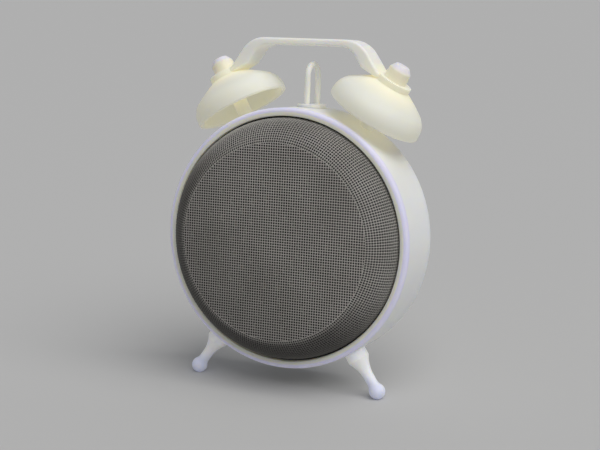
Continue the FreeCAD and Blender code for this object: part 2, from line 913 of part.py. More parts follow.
def make_board():
    reach = board_radius + s.cut_overrun
    flat_v = board_radius - s.board_flat_depth
    disc = rod("board_disc", board_radius, (0, 0, board_back), (0, 0, board_front))
    low = board_back - s.cut_overrun
    high = board_front + s.cut_overrun
    tools = [
        block("board_top_cut", (-reach, flat_v, low), (reach, reach, high)),
        block("board_bottom_cut", (-reach, -reach, low), (reach, -flat_v, high)),
    ]
    for angle in four_corners(s.post_angle):
        u, v = on_circle(post_circle, angle)
        tools.append(rod("post_notch", s.post_radius + s.loose_gap, (u, v, low), (u, v, high)))
    screws = []
    for angle in four_corners(s.standoff_angle):
        u, v = on_circle(standoff_circle, angle)
        tools.append(rod("board_hole", s.small_screw_radius + s.screw_gap,
                         (u, v, low), (u, v, high)))
        screws.append(screw("board_screw", s.small_screw_radius,
                            s.board_thickness + s.small_screw_length - s.cut_overrun,
                            s.small_head_radius, s.small_head_height, (u, v, board_back), 1))
    keep("main_board", cut("MainBoard", disc, tools))
    keep("board_screws", grouped("BoardScrews", screws))

    half = s.chip_width / 2
    chip_row = -(tray_half_height() + s.loose_gap * 2)
    keep("voice_chip", block("VoiceChip",
                             (-half, chip_row - s.chip_width, board_back - s.chip_height),
                             (half, chip_row, board_back)))
    capacitors = []
    for side in (-1, 1):
        u = (half + s.capacitor_radius + s.loose_gap) * side
        v = chip_row - half
        capacitors.append(rod("capacitor", s.capacitor_radius, (u, v, board_back),
                              (u, v, board_back - s.capacitor_length)))
    keep("capacitors", grouped("Capacitors", capacitors))


# Battery bay

def tray_half_length():
    return (s.cell_length + s.cell_nub_length + s.spring_space) / 2 + s.tray_wall


def tray_half_height():
    return s.cell_pitch * (CELL_COUNT - 1) / 2 + s.cell_radius + s.fit_gap + s.tray_wall


def tray_floor_level():
    """The battery side of the tray's floor."""
    return case_back + s.door_thickness + s.fit_gap + s.cell_radius * 2 + s.fit_gap


def make_battery_bay():
    half_u = tray_half_length()
    half_v = tray_half_height()
    floor = tray_floor_level()
    wall = s.tray_wall
    outer = block("tray_outer", (-half_u, -half_v, cover_face),
                  (half_u, half_v, floor + s.tray_floor))
    tab_u = half_u + s.tray_tab_width
    half_tab = s.tray_tab_length / 2
    tabs = block("tray_tabs", (-tab_u, -half_tab, cover_face),
                 (tab_u, half_tab, cover_face + s.tray_tab_thickness))
    room = block("tray_room", (-half_u + wall, -half_v + wall, cover_face - s.cut_overrun),
                 (half_u - wall, half_v - wall, floor))
    tools = [room]
    screw_u = half_u + s.tray_tab_width / 2
    screws = []
    for side in (-1, 1):
        tools.append(rod("tray_hole", s.small_screw_radius + s.screw_gap,
                         (screw_u * side, 0, cover_face - s.cut_overrun),
                         (screw_u * side, 0, cover_face + s.tray_tab_thickness + s.cut_overrun)))
        screws.append(screw("tray_screw", s.small_screw_radius,
                            s.tray_tab_thickness + s.cover_thickness / 2,
                            s.small_head_radius, s.small_head_height,
                            (screw_u * side, 0, cover_face + s.tray_tab_thickness), -1))
    keep("battery_tray", cut("BatteryTray", fused("tray_solids", [outer, tabs]), tools))
    keep("tray_screws", grouped("TrayScrews", screws))
    make_cells(half_u - wall, floor)
    make_door()


def cell_row(index):
    """The v of one cell; the rows are centred in the tray."""
    return s.cell_pitch * (index - (CELL_COUNT - 1) / 2)


def make_cells(end, floor):
    """Three cells side by side, turned end for end by turns, with a sprung contact
    at each flat end and a plate at each nub."""
    axis_w = floor - s.fit_gap / 2 - s.cell_radius
    springs = []
    plates = []
    for index in range(CELL_COUNT):
        v = cell_row(index)
        side = 1 if index % 2 == 0 else -1
        nub_tip = (end - s.contact_thickness) * side
        nub_foot = nub_tip - s.cell_nub_length * side
        flat_end = nub_foot - s.cell_length * side
        body = rod("cell_body", s.cell_radius, (flat_end, v, axis_w), (nub_foot, v, axis_w))
        nub = rod("cell_nub", s.cell_nub_radius, (nub_foot, v, axis_w), (nub_tip, v, axis_w))
        keep("battery_cell_%d" % (index + 1), fused("BatteryCell%d" % (index + 1), [body, nub]))
        plates.append(contact_plate(end * side, v, axis_w, -side))
        spring_wall = -end * side
        spring_seat = spring_wall + s.contact_thickness * side
        coil = rod("spring_coil", s.cell_nub_radius, (spring_seat, v, axis_w),
                   (flat_end, v, axis_w))
        seat = contact_plate(spring_wall, v, axis_w, side)
        springs.append(fused("contact_spring", [coil, seat]))
    keep("battery_contacts", grouped("BatteryContacts", plates))
    keep("battery_springs", grouped("BatterySprings", springs))


def contact_plate(wall_u, v, axis_w, inward):
    half = s.contact_width / 2
    face_u = wall_u + s.contact_thickness * inward
    low_u, high_u = (wall_u, face_u) if inward > 0 else (face_u, wall_u)
    return block("contact_plate", (low_u, v - half, axis_w - half), (high_u, v + half, axis_w + half))


def door_half_length():
    return tray_half_length() - s.tray_wall + s.door_ledge


def door_half_height():
    return tray_half_height() - s.tray_wall + s.door_ledge


def make_door():
    """The battery door. It lies flush in the cover, held at its lower edge by two
    tongues, and slides up until they are free."""
    half_u = door_half_length() - s.fit_gap
    half_v = door_half_height() - s.fit_gap
    inner_face = case_back + s.door_thickness
    plate = slab("door_plate", rectangle(half_u, half_v), case_back, inner_face)
    rounded_edges(plate, "door_corners", is_along_w, s.door_corner)
    tongues = []
    for side in (-1, 1):
        low_u, high_u = tongue_span(side)
        tongues.append(block("door_tongue",
                             (low_u, -half_v - s.door_tongue_length,
                              inner_face - s.door_tongue_thickness),
                             (high_u, -half_v + s.cut_overrun, inner_face)))
    ribs = []
    for index in range(DOOR_RIB_COUNT):
        v = half_v - s.door_corner - s.door_rib_pitch * (index + 1)
        half_rib = s.door_rib_thickness / 2
        ribs.append(block("door_rib",
                          (-s.door_rib_width / 2, v - half_rib, case_back - s.door_rib_height),
                          (s.door_rib_width / 2, v + half_rib, case_back + s.door_thickness / 2)))
    keep("battery_door", fused("BatteryDoor", [plate] + tongues + ribs))


def tongue_span(side):
    """The two values of u between which one of the door's tongues lies."""
    middle = s.door_tongue_spacing * side
    return middle - s.door_tongue_width / 2, middle + s.door_tongue_width / 2


def rectangle(half_u, half_v):
    return [(-half_u, -half_v), (half_u, -half_v), (half_u, half_v), (-half_u, half_v)]


def is_along_w(edge):
    """True for a straight edge that runs front to back."""
    run = edge.valueAt(edge.LastParameter) - edge.valueAt(edge.FirstParameter)
    return run.x ** 2 + run.y ** 2 < run.z ** 2 / 100


# Rear cover

def wheel_axis_w():
    return case_back - s.wheel_proud + s.wheel_radius


def rear_leg_root():
    """Where the rear leg's axis meets the cover's outer face."""
    foot_v, foot_w = rear_foot()
    return foot_v + (case_back - foot_w) * s.rear_leg_slope.tan()


def rear_foot():
    """The centre of the rear foot. It stands as low as the front feet do."""
    front_u, front_v, front_w = leg_point(1, leg_reach)
    foot_w = case_back - s.rear_foot_reach
    foot_v = front_v + (front_w - foot_w) * s.lean_angle.tan()
    return foot_v, foot_w


def make_rear_cover():
    radius = s.case_radius - s.case_lip_wall - s.fit_gap
    disc = turned("cover_disc", [
        (None, case_back),
        (None, cover_face),
        (radius, cover_face),
        (radius, case_back + s.cover_edge),
        (radius - s.cover_edge, case_back, s.cover_edge, -1),
    ])
    out = case_back - s.cut_overrun
    through = cover_face + s.cut_overrun
    opening_u = tray_half_length() - s.tray_wall
    opening_v = tray_half_height() - s.tray_wall
    recess = slab("door_recess", [
        (-door_half_length(), -door_half_height()),
        (door_half_length(), -door_half_height()),
        (door_half_length(), door_half_height() + s.door_travel),
        (-door_half_length(), door_half_height() + s.door_travel),
    ], out, case_back + s.door_thickness)
    rounded_edges(recess, "recess_corners", is_along_w, s.door_corner)
    tools = [
        recess,
        block("tray_opening", (-opening_u, -opening_v, out), (opening_u, opening_v, through)),
    ]
    for side in (-1, 1):
        low_u, high_u = tongue_span(side)
        inner_face = case_back + s.door_thickness
        tools.append(block("tongue_slot",
                           (low_u - s.fit_gap,
                            -door_half_height() - s.door_tongue_length - s.fit_gap,
                            inner_face - s.door_tongue_thickness - s.fit_gap),
                           (high_u + s.fit_gap, -door_half_height() + s.cut_overrun, inner_face)))
    for index in range(len(KEY_NAMES)):
        v = key_row(index)
        tools.append(rod("key_hole", s.key_radius + s.loose_gap,
                         (control_column(), v, out), (control_column(), v, through)))
    slot_u = s.slider_width / 2 + s.loose_gap
    slot_v = s.slider_length / 2 + s.loose_gap
    tools.append(block("slider_slot", (-control_column() - slot_u, -slot_v, out),
                       (-control_column() + slot_u, slot_v + s.slider_travel, through)))
    wheel_depth = cover_face - wheel_axis_w()
    wheel_chord = (s.wheel_radius * s.wheel_radius - wheel_depth * wheel_depth).root()
    wheel_u = wheel_chord + s.loose_gap * 2
    wheel_v = s.wheel_thickness / 2 + s.loose_gap
    wheel_middle, wheel_level = wheel_spot()
    tools.append(block("wheel_slot", (wheel_middle - wheel_u, wheel_level - wheel_v, out),
                       (wheel_middle + wheel_u, wheel_level + wheel_v, through)))
    screws = []
    for angle in four_corners(s.post_angle):
        u, v = on_circle(post_circle, angle)
        tools.append(rod("cover_hole", s.screw_radius + s.screw_gap, (u, v, out), (u, v, through)))
        screws.append(case_screw(u, v))
    for side in (-1, 1):
        u = (tray_half_length() + s.tray_tab_width / 2) * side
        tools.append(rod("cover_pilot", s.small_screw_radius,
                         (u, 0, cover_face - s.cover_thickness / 2), (u, 0, through)))
    screw_v = rear_leg_root() - s.leg_screw_drop
    tools.append(rod("cover_leg_hole", s.leg_screw_radius + s.screw_gap,
                     (0, screw_v, out), (0, screw_v, through)))
    keep("rear_cover", cut("RearCover", disc, tools))
    keep("case_screws", grouped("CaseScrews", screws))


def case_screw(u, v):
    """A round-headed screw with a cross recess, driven into a post from behind."""
    plain = screw("case_screw", s.screw_radius, s.cover_thickness + s.screw_length - s.cut_overrun,
                  s.screw_head_radius, s.screw_head_height, (u, v, case_back), 1)
    head_end = case_back - s.screw_head_height
    half = s.recess_width / 2
    reach = s.recess_length / 2
    across = block("recess_across", (u - reach, v - half, head_end - s.cut_overrun),
                   (u + reach, v + half, head_end + s.recess_depth))
    up = block("recess_up", (u - half, v - reach, head_end - s.cut_overrun),
               (u + half, v + reach, head_end + s.recess_depth))
    return cut("case_screw_cut", plain, [across, up])


# Keys, switch and volume wheel

def control_column():
    """How far from the middle the keys and the slider are: midway between the
    battery tray and the drum's wall."""
    return (tray_half_length() + case_inner) / 2


def key_row(index):
    return s.key_pitch * (index - (len(KEY_NAMES) - 1) / 2)


def make_keys():
    """Four keys in a column. Each key's stem ends inside its own switch, whose
    spring pushes the key back out."""
    collar_back = cover_face + s.fit_gap
    collar_front = collar_back + s.key_collar_thickness
    switch_back = board_back - s.tact_height
    stem_end = switch_back + s.key_stem_entry
    room_end = stem_end + s.key_travel + s.loose_gap
    column = control_column()
    switches = []
    for index, name in enumerate(KEY_NAMES):
        v = key_row(index)
        key = turned(name + "_turned", [
            (None, case_back - s.key_proud),
            (None, stem_end),
            (s.key_stem_radius, stem_end),
            (s.key_stem_radius, collar_front),
            (s.key_collar_radius, collar_front),
            (s.key_collar_radius, collar_back),
            (s.key_radius, collar_back),
            (s.key_radius, case_back - s.key_proud + s.cover_edge),
            (s.key_radius - s.cover_edge, case_back - s.key_proud, s.cover_edge, -1),
        ])
        key.Placement.Base = vector(column, v, 0)
        keep(name, key)
        half = s.tact_width / 2
        body = block("tact_body",
                     (column - half, v - half, switch_back),
                     (column + half, v + half, board_back))
        room = rod("tact_room", s.key_stem_radius + s.loose_gap,
                   (column, v, switch_back - s.cut_overrun),
                   (column, v, room_end))
        switches.append(cut("tact_switch", body, [room]))
    keep("tact_switches", grouped("TactSwitches", switches))


def make_slider():
    """The alarm on and off slider and the switch that it moves."""
    u = -control_column()
    foot_back = cover_face + s.fit_gap
    foot_front = foot_back + s.slider_foot_thickness
    half_u = s.slider_width / 2
    half_v = s.slider_length / 2
    knob = block("slider_knob", (u - half_u, -half_v, case_back - s.slider_proud),
                 (u + half_u, half_v, foot_front))
    foot = block("slider_foot", (u - s.slider_foot_width / 2, -s.slider_foot_length / 2, foot_back),
                 (u + s.slider_foot_width / 2, s.slider_foot_length / 2, foot_front))
    switch_back = board_back - s.switch_height
    lever = block("slider_lever", (u - half_u / 2, -half_v / 2, foot_front),
                  (u + half_u / 2, half_v / 2, switch_back - s.fit_gap))
    keep("alarm_slider", fused("AlarmSlider", [knob, foot, lever]))
    keep("slide_switch", block("SlideSwitch",
                               (u - s.slider_foot_width / 2, -s.slider_foot_length / 2, switch_back),
                               (u + s.slider_foot_width / 2, s.slider_foot_length / 2, board_back)))


def wheel_spot():
    """The u and v of the middle of the wheel: beside the striker's coil, and above
    the room that the battery door needs when it slides."""
    u = s.striker_offset - s.magnet_coil_flange / 2 - s.loose_gap - s.wheel_radius
    pot_bottom = door_half_height() + s.door_travel + s.wheel_door_gap
    return u, pot_bottom + s.pot_height + s.fit_gap + s.wheel_thickness / 2


def make_wheel():
    """The volume wheel, whose knurled rim stands out of a slot in the cover."""
    half = s.wheel_thickness / 2
    body = turned("VolumeWheel", [
        (s.wheel_bore_radius, -half),
        (s.wheel_bore_radius, half),
        (s.wheel_radius, half),
        (s.wheel_radius, -half),
    ])
    doc.recompute()
    plain_volume = body.Shape.Volume
    sketch = new_sketch(body, "wheel_notch", "XY_Plane", half)
    draw_circle(sketch, s.wheel_radius, None, s.wheel_notch_radius)
    pocket = body.newObject("PartDesign::Pocket", "wheel_notch_cut")
    pocket.Profile = sketch
    pocket.setExpression("Length", s.wheel_thickness.text)
    pattern = body.newObject("PartDesign::PolarPattern", "wheel_knurl")
    pattern.Originals = [pocket]
    pattern.Axis = (sketch, ["N_Axis"])
    pattern.Angle = 360
    pattern.Occurrences = WHEEL_NOTCH_COUNT
    body.Tip = pattern
    doc.recompute()
    if body.Shape.Volume >= plain_volume:
        raise ValueError("the knurl cuts nothing")
    axis_w = wheel_axis_w()
    middle, level = wheel_spot()
    body.Placement = FreeCAD.Placement(vector(middle, level, axis_w),
                                       FreeCAD.Rotation(W_AXIS, V_AXIS))
    keep("volume_wheel", body)
    top = level - half - s.fit_gap
    half_pot = s.pot_width / 2
    pot = block("pot_body", (middle - half_pot, top - s.pot_height, cover_face + s.loose_gap),
                (middle + half_pot, top, board_back))
    shaft = rod("pot_shaft", s.wheel_bore_radius - s.pin_gap, (middle, top, axis_w),
                (middle, level + half, axis_w))
    keep("volume_control", fused("VolumeControl", [pot, shaft]))


# Bells, posts, knobs and handle

plate_bottom = bell_rim_distance + s.bell_height
plate_top = plate_bottom + s.handle_plate_thickness


def make_bell(word, side):
    """One bell: a turned bowl that opens towards the drum."""
    drop = s.bell_radius - s.bell_waist_radius
    rise = s.bell_waist_height - s.bell_lip_height
    shoulder = (rise * rise + drop * drop) / (drop * 2)
    centre_r = s.bell_radius - shoulder
    inner_share = (shoulder - s.bell_wall) / shoulder
    inner_waist_r = centre_r + (s.bell_waist_radius - centre_r) * inner_share
    inner_waist_h = s.bell_lip_height + rise * inner_share
    hole = s.stud_radius + s.stud_gap
    bell = turned("Bell_" + word, [
        (s.bell_radius - s.bell_wall, None),
        (s.bell_radius, None),
        (s.bell_radius, s.bell_lip_height),
        (s.bell_waist_radius, s.bell_waist_height, shoulder, 1),
        (s.bell_top_radius, s.bell_height, s.bell_crown_radius, 1),
        (hole, s.bell_height),
        (hole, s.bell_height - s.bell_wall),
        (s.bell_inner_top_radius, s.bell_height - s.bell_wall),
        (inner_waist_r, inner_waist_h, s.bell_crown_radius, -1),
        (s.bell_radius - s.bell_wall, s.bell_lip_height, shoulder - s.bell_wall, -1),
    ])

    def is_lip(edge):
        ends = (edge.valueAt(edge.FirstParameter), edge.valueAt(edge.LastParameter))
        limit = float(s.bell_lip_height) / 2
        return len(edge.Vertexes) == 1 and max(abs(ends[0].z), abs(ends[1].z)) < limit

    rounded_edges(bell, "bell_lip_" + word, is_lip, s.bell_lip_round)
    bell.Placement = radial_placement(bell_point(side, bell_rim_distance))
    keep("bell_" + word, bell)


def make_bell_post(word, side):
    """The post that holds a bell off the drum, with a stud at each end."""
    foot = s.case_radius + s.pin_gap
    top = bell_rim_distance + s.bell_height - s.bell_wall
    post = turned("BellPost_" + word, [
        (None, -s.stud_reach),
        (None, plate_top - foot + s.knob_bore_depth - s.loose_gap),
        (s.stud_radius, plate_top - foot + s.knob_bore_depth - s.loose_gap),
        (s.stud_radius, top - foot),
        (s.bell_post_radius, top - foot),
        (s.bell_post_radius, None),
        (s.stud_radius, None),
        (s.stud_radius, -s.stud_reach),
    ])
    post.Placement = radial_placement(bell_point(side, foot))
    keep("bell_post_" + word, post)


def make_knob(word, side):
    """The cap nut that clamps the handle's end and the bell to the post. Its top is
    a flat facet with a slanted one round it."""
    bore = s.stud_radius + s.pin_gap
    knob = turned("BellKnob_" + word, [
        (bore, None),
        (s.knob_foot_radius, None),
        (s.knob_side_radius, s.knob_side_height),
        (s.knob_top_radius, s.knob_height),
        (None, s.knob_height),
        (None, s.knob_bore_depth),
        (bore, s.knob_bore_depth),
    ])

    def is_facet_edge(edge):
        middle = (edge.FirstParameter + edge.LastParameter) / 2
        low = min(edge.valueAt(edge.FirstParameter).z, edge.valueAt(middle).z)
        return len(edge.Vertexes) == 1 and low > float(s.knob_bore_depth + s.pin_gap)

    rounded_edges(knob, "knob_edges_" + word, is_facet_edge, s.knob_edge_round)
    knob.Placement = radial_placement(bell_point(side, plate_top))
    keep("bell_knob_" + word, knob)


def hex_nut(name, point):
    """A nut against the inside of the drum, threaded on a radial stud."""
    u, v, w = point
    prism = doc.addObject("Part::Prism", name + "_prism")
    prism.Polygon = 6
    prism.setExpression("Circumradius", s.nut_radius.text)
    prism.setExpression("Height", s.nut_height.text)
    prism.Placement = radial_placement(point, outward=False)
    bore = doc.addObject("Part::Cylinder", name + "_bore")
    bore.setExpression("Radius", (s.stud_radius + s.pin_gap).text)
    bore.setExpression("Height", (s.nut_height + s.cut_overrun * 2).text)
    inward = vector(u, v, 0).normalize() * -1
    start = vector(u, v, w) - inward * float(s.cut_overrun)
    bore.Placement = FreeCAD.Placement(start, FreeCAD.Rotation(W_AXIS, inward))
    return cut(name, prism, [bore])


def nut_seat():
    """How far from the drum's axis a flat nut can sit without cutting the wall."""
    return (case_inner * case_inner - s.nut_radius * s.nut_radius).root() - s.pin_gap


def make_handle():
    """The carrying strap: a top bar, two arms and a round plate on each bell."""
    middle = -s.bell_setback
    slant = s.handle_arm_angle
    top_u, top_v, unused = bell_point(1, plate_top)
    low_u, low_v, unused = bell_point(1, plate_bottom)
    bar_top = top_v + s.handle_rise
    bar_bottom = bar_top - s.handle_bar_thickness
    outer_corner = top_u - s.handle_corner_inset
    inner_corner = (outer_corner - s.handle_arm_thickness / slant.cos()
                    + s.handle_bar_thickness * slant.tan())
    closing = (slant + s.bell_angle).cos()

    def along_arm(corner_u, corner_v, distance):
        reach = corner_u * s.bell_angle.sin() + corner_v * s.bell_angle.cos() - distance
        step = reach / closing
        return corner_u + step * slant.sin(), corner_v - step * slant.cos()

    outer_knee = along_arm(outer_corner, bar_top, plate_top)
    inner_knee = along_arm(inner_corner, bar_bottom, plate_bottom)
    right = [
        (outer_corner, bar_top),
        outer_knee,
        (top_u, top_v),
        (low_u, low_v),
        inner_knee,
        (inner_corner, bar_bottom),
    ]
    left = [(-u, v) for u, v in reversed(right)]
    half = s.handle_width / 2
    strap = slab("handle_strap", right + left, middle - half, middle + half)
    rounds = (
        ("handle_outer", (outer_corner, bar_top), s.handle_outer_round),
        ("handle_inner", (inner_corner, bar_bottom), s.handle_inner_round),
        ("handle_knee_out", outer_knee, s.handle_knee_round),
        ("handle_knee_in", inner_knee, s.handle_knee_round),
    )
    for name, corner, radius in rounds:
        rounded_edges(strap, name, at_corner(corner), radius)
    rounded_edges(strap, "handle_edges", is_across_w, s.handle_edge)
    solids = [strap]
    tools = []
    for word, side in SIDES:
        solids.append(rod("handle_plate", s.handle_plate_radius,
                          bell_point(side, plate_bottom), bell_point(side, plate_top)))
        tools.append(rod("handle_hole", s.stud_radius + s.stud_gap,
                         bell_point(side, plate_bottom - s.cut_overrun),
                         bell_point(side, plate_top + s.cut_overrun)))
    keep("handle", cut("Handle", fused("handle_solids", solids), tools))


def at_corner(corner):
    """A test for the two edges that run front to back at a corner and its mirror."""
    u = abs(float(corner[0]))
    v = float(corner[1])

    def chosen(edge):
        point = edge.valueAt(edge.FirstParameter)
        near = (abs(point.x) - u) ** 2 + (point.y - v) ** 2 < float(s.fit_gap) ** 2
        return near and is_along_w(edge)

    return chosen


def is_across_w(edge):
    """True for an edge that lies in one of the two flat sides of the strap."""
    ends = [edge.valueAt(edge.FirstParameter), edge.valueAt(edge.LastParameter)]
    middle = edge.valueAt((edge.FirstParameter + edge.LastParameter) / 2)
    clamped = float(plate_bottom) * math.cos(math.radians(float(s.bell_angle)))
    level = abs(ends[0].z - ends[1].z) < float(s.pin_gap)
    return level and max(ends[0].y, ends[1].y, middle.y) > clamped + float(s.handle_plate_radius)


# Striker

def make_striker():
    """The wire striker, the block that it turns with, its pin, the collar on top of
    the drum and the small electromagnet below it."""
    u = s.striker_offset
    middle = -s.bell_setback
    spread = s.striker_spread
    wire = s.striker_wire_radius
    bend_v = s.case_radius + s.striker_height - wire - spread
    foot_v = striker_pivot - s.rocker_rise
    legs = [rod("striker_leg", wire, (u, foot_v, middle + spread * side),
                (u, bend_v, middle + spread * side)) for side in (-1, 1)]
    bend = doc.addObject("Part::Torus", "striker_bend")
    bend.setExpression("Radius1", spread.text)
    bend.setExpression("Radius2", wire.text)
    bend.Angle3 = 180
    bend.Placement = FreeCAD.Placement(vector(u, bend_v, middle), FreeCAD.Rotation(V_AXIS, 90))
    keep("striker_wire", fused("StrikerWire", legs + [bend]))

    half_u = s.rocker_width / 2
    cheek = s.ear_thickness / 2 + s.loose_gap
    end = spread + wire + s.loose_gap * 2
    tail = striker_pivot - s.rocker_tail
    rise = striker_pivot + s.rocker_rise
    whole = block("rocker_block", (u - half_u, tail, middle - end), (u + half_u, rise, middle + end))
    ear_room = striker_pivot - s.ear_drop - s.loose_gap - s.pin_gap
    gap = block("rocker_gap", (u - s.rocker_width, ear_room, middle - cheek),
                (u + s.rocker_width, rise + s.cut_overrun, middle + cheek))
    tools = [gap, rod("rocker_bore", s.pivot_pin_radius + s.pin_gap,
                      (u, striker_pivot, middle - end - s.cut_overrun),
                      (u, striker_pivot, middle + end + s.cut_overrun))]
    for side in (-1, 1):
        tools.append(rod("rocker_socket", wire, (u, foot_v, middle + spread * side),
                         (u, rise + s.cut_overrun, middle + spread * side)))
    keep("striker_rocker", cut("StrikerRocker", whole, tools))
    pin_half = spread - wire - s.fit_gap
    keep("striker_pin", rod("StrikerPin", s.pivot_pin_radius,
                            (u, striker_pivot, middle - pin_half),
                            (u, striker_pivot, middle + pin_half)))
    make_collar(u, middle)
    make_coil(u, middle, tail)


def make_collar(u, middle):
    """The oval collar on the drum, cut underneath to the drum's own curve."""
    half = s.collar_width / 2
    centre = s.striker_spread + s.striker_wire_radius + s.collar_margin - half
    top = s.case_radius + s.collar_height - s.loose_gap
    low = case_inner
    ends = [rod("collar_end", half, (u, low, middle + centre * side),
                (u, top, middle + centre * side)) for side in (-1, 1)]
    body = block("collar_body", (u - half, low, middle - centre), (u + half, top, middle + centre))
    tools = [rod("collar_seat", s.case_radius + s.pin_gap, (0, 0, case_back - s.cut_overrun),
                 (0, 0, s.cut_overrun))]
    for side in (-1, 1):
        tools.append(striker_slot("collar_slot", side, top + s.cut_overrun))
    keep("striker_collar", cut("StrikerCollar", fused("collar_solids", ends + [body]), tools))


def make_coil(u, middle, tail):
    """The electromagnet that pulls the striker's tail, on the back of the board."""
    top = tail - s.magnet_coil_gap
    base = top - s.magnet_coil_length
    flange = s.magnet_coil_flange
    thick = s.magnet_coil_flange_thickness
    coil_w = board_back - flange / 2
    half = flange / 2
    lower = block("coil_lower_flange", (u - half, base, coil_w - half),
                  (u + half, base + thick, coil_w + half))
    upper = block("coil_upper_flange", (u - half, top - thick * 2, coil_w - half),
                  (u + half, top - thick, coil_w + half))
    winding = rod("coil_winding", s.magnet_coil_radius, (u, base, coil_w), (u, top - thick, coil_w))
    core = rod("coil_core", s.magnet_core_radius, (u, base, coil_w), (u, top, coil_w))
    keep("striker_coil", fused("StrikerCoil", [lower, upper, winding, core]))


# Legs

def leg_outline(length, stud):
    """A turned leg: a ball foot at the origin that runs smoothly into a thin neck,
    and a wide cup at the top. A front leg ends in a stud."""
    neck = s.leg_neck_radius
    blend = s.leg_blend_radius
    centres = s.foot_radius + blend
    blend_height = (centres * centres - (neck + blend) * (neck + blend)).root()
    ball_share = s.foot_radius / centres
    cup_start = s.leg_length - s.leg_cup_height
    # The arc that leaves the neck in line with it and ends on the cup's edge
    run = cup_start - s.leg_neck_end
    step = s.leg_cup_radius - neck
    neck_flare = (run * run + step * step) / (step * 2)
    outline = [
        (None, -s.foot_radius),
        (s.foot_radius, None, s.foot_radius, 1),
        ((neck + blend) * ball_share, blend_height * ball_share, s.foot_radius, 1),
        (neck, blend_height, blend, -1),
        (neck, s.leg_neck_end),
        (s.leg_cup_radius, cup_start, neck_flare, -1),
        (s.leg_cup_radius, length),
    ]
    if stud:
        outline += [(s.stud_radius, length), (s.stud_radius, length + s.stud_reach),
                    (None, length + s.stud_reach)]
    else:
        outline += [(None, length)]
    return outline


def floor_level():
    """The table's level below the drum's axis, measured square to the table."""
    front_u, front_v, front_w = leg_point(1, leg_reach)
    lean = s.lean_angle
    return front_v * lean.cos() + front_w * lean.sin() - s.foot_radius + s.foot_flat


def floor_cutter(name):
    """A block under the table plane that cuts the small flat on a foot."""
    reach = s.case_radius * 2
    cutter = doc.addObject("Part::Box", name)
    cutter.setExpression("Length", (reach * 2).text)
    cutter.setExpression("Width", (reach * 2).text)
    cutter.setExpression("Height", s.foot_radius.text)
    lean = float(s.lean_angle)
    level = float(floor_level()) - float(s.foot_radius)
    tilt = FreeCAD.Rotation(U_AXIS, lean - 90)
    corner = tilt.multVec(vector(-reach, -reach, level))
    cutter.Placement = FreeCAD.Placement(corner, tilt)
    return cutter


def make_front_leg(word, side):
    length = s.leg_length - s.pin_gap
    leg = turned("leg_turned_" + word, leg_outline(length, True))
    leg.Placement = radial_placement(leg_point(side, leg_reach), outward=False)
    keep("front_leg_" + word, cut("FrontLeg_" + word, leg, [floor_cutter("floor_" + word)]))


def make_rear_leg():
    """The long rear leg, cut off square against the rear cover and held by a screw
    from inside the case."""
    foot_v, foot_w = rear_foot()
    slope = s.rear_leg_slope
    run = (case_back - foot_w) / slope.cos()
    extra = s.leg_cup_radius * slope.tan() + s.cut_overrun
    leg = turned("rear_leg_turned", leg_outline(run + extra, False))
    upward = vector(0, slope.sin(), slope.cos())
    leg.Placement = FreeCAD.Placement(vector(0, foot_v, foot_w), FreeCAD.Rotation(W_AXIS, upward))
    reach = s.case_radius
    trim = block("rear_leg_trim", (-reach, -reach, case_back), (reach, reach, case_back + reach))
    screw_v = rear_leg_root() - s.leg_screw_drop
    bore = rod("rear_leg_bore", s.leg_screw_radius,
               (0, screw_v, case_back - s.leg_screw_depth),
               (0, screw_v, case_back + s.cut_overrun))
    keep("rear_leg", cut("RearLeg", leg, [floor_cutter("floor_rear"), trim, bore]))
    length = s.cover_thickness + s.leg_screw_depth - s.loose_gap
    keep("rear_leg_screw", screw("RearLegScrew", s.leg_screw_radius, length,
                                 s.screw_head_radius, s.screw_head_height,
                                 (0, screw_v, cover_face), -1))


# Leads

def lead(name, path_role, path_height, start, corners, section_role, section_height, centre):
    """An insulated wire swept along straight runs joined by round bends."""
    body = doc.addObject("PartDesign::Body", name)
    path = new_sketch(body, name + "_path", path_role, path_height)
    draw_outline(path, corners, start)
    section = new_sketch(body, name + "_section", section_role, section_height)
    draw_circle(section, centre[0], centre[1], s.lead_radius)
    doc.recompute()
    pipe = body.newObject("PartDesign::AdditivePipe", name + "_pipe")
    pipe.Profile = section
    pipe.Spine = (path, ["Edge%d" % (i + 1) for i in range(len(path.Shape.Edges))])
    return body


def make_leads():
    """Two leads from the loudspeaker's flange and two from the battery tray, each
    soldered to the main board."""
    bend = s.lead_bend
    terminal_v = -(s.basket_radius - s.lead_radius * 2)
    low_v = terminal_v - s.lead_drop
    terminal_w = speaker_front - s.basket_plate
    route_w = (terminal_w + board_front) / 2
    speaker = []
    battery = []
    for word, side in SIDES:
        u = s.lead_spacing * side
        speaker.append(lead(
            "SpeakerLead_" + word, "YZ_Plane", u, (terminal_v, terminal_w), [
                (terminal_v, route_w + bend),
                (terminal_v - bend, route_w, bend, -1),
                (low_v + bend, route_w),
                (low_v, route_w - bend, bend, 1),
                (low_v, board_front),
            ], "XY_Plane", terminal_w, (u, terminal_v)))
        wall_u = tray_half_length() * side
        stand_u = wall_u + s.lead_stand * side
        v = cell_row(0) if side > 0 else cell_row(CELL_COUNT - 1)
        axis_w = tray_floor_level() - s.fit_gap / 2 - s.cell_radius
        battery.append(lead(
            "BatteryLead_" + word, "XZ_Plane", -v, (wall_u, axis_w), [
                (stand_u - bend * side, axis_w),
                (stand_u, axis_w + bend, bend, side),
                (stand_u, board_back),
            ], "YZ_Plane", wall_u, (v, axis_w)))
    keep("speaker_leads", grouped("SpeakerLeads", speaker))
    keep("battery_leads", grouped("BatteryLeads", battery))


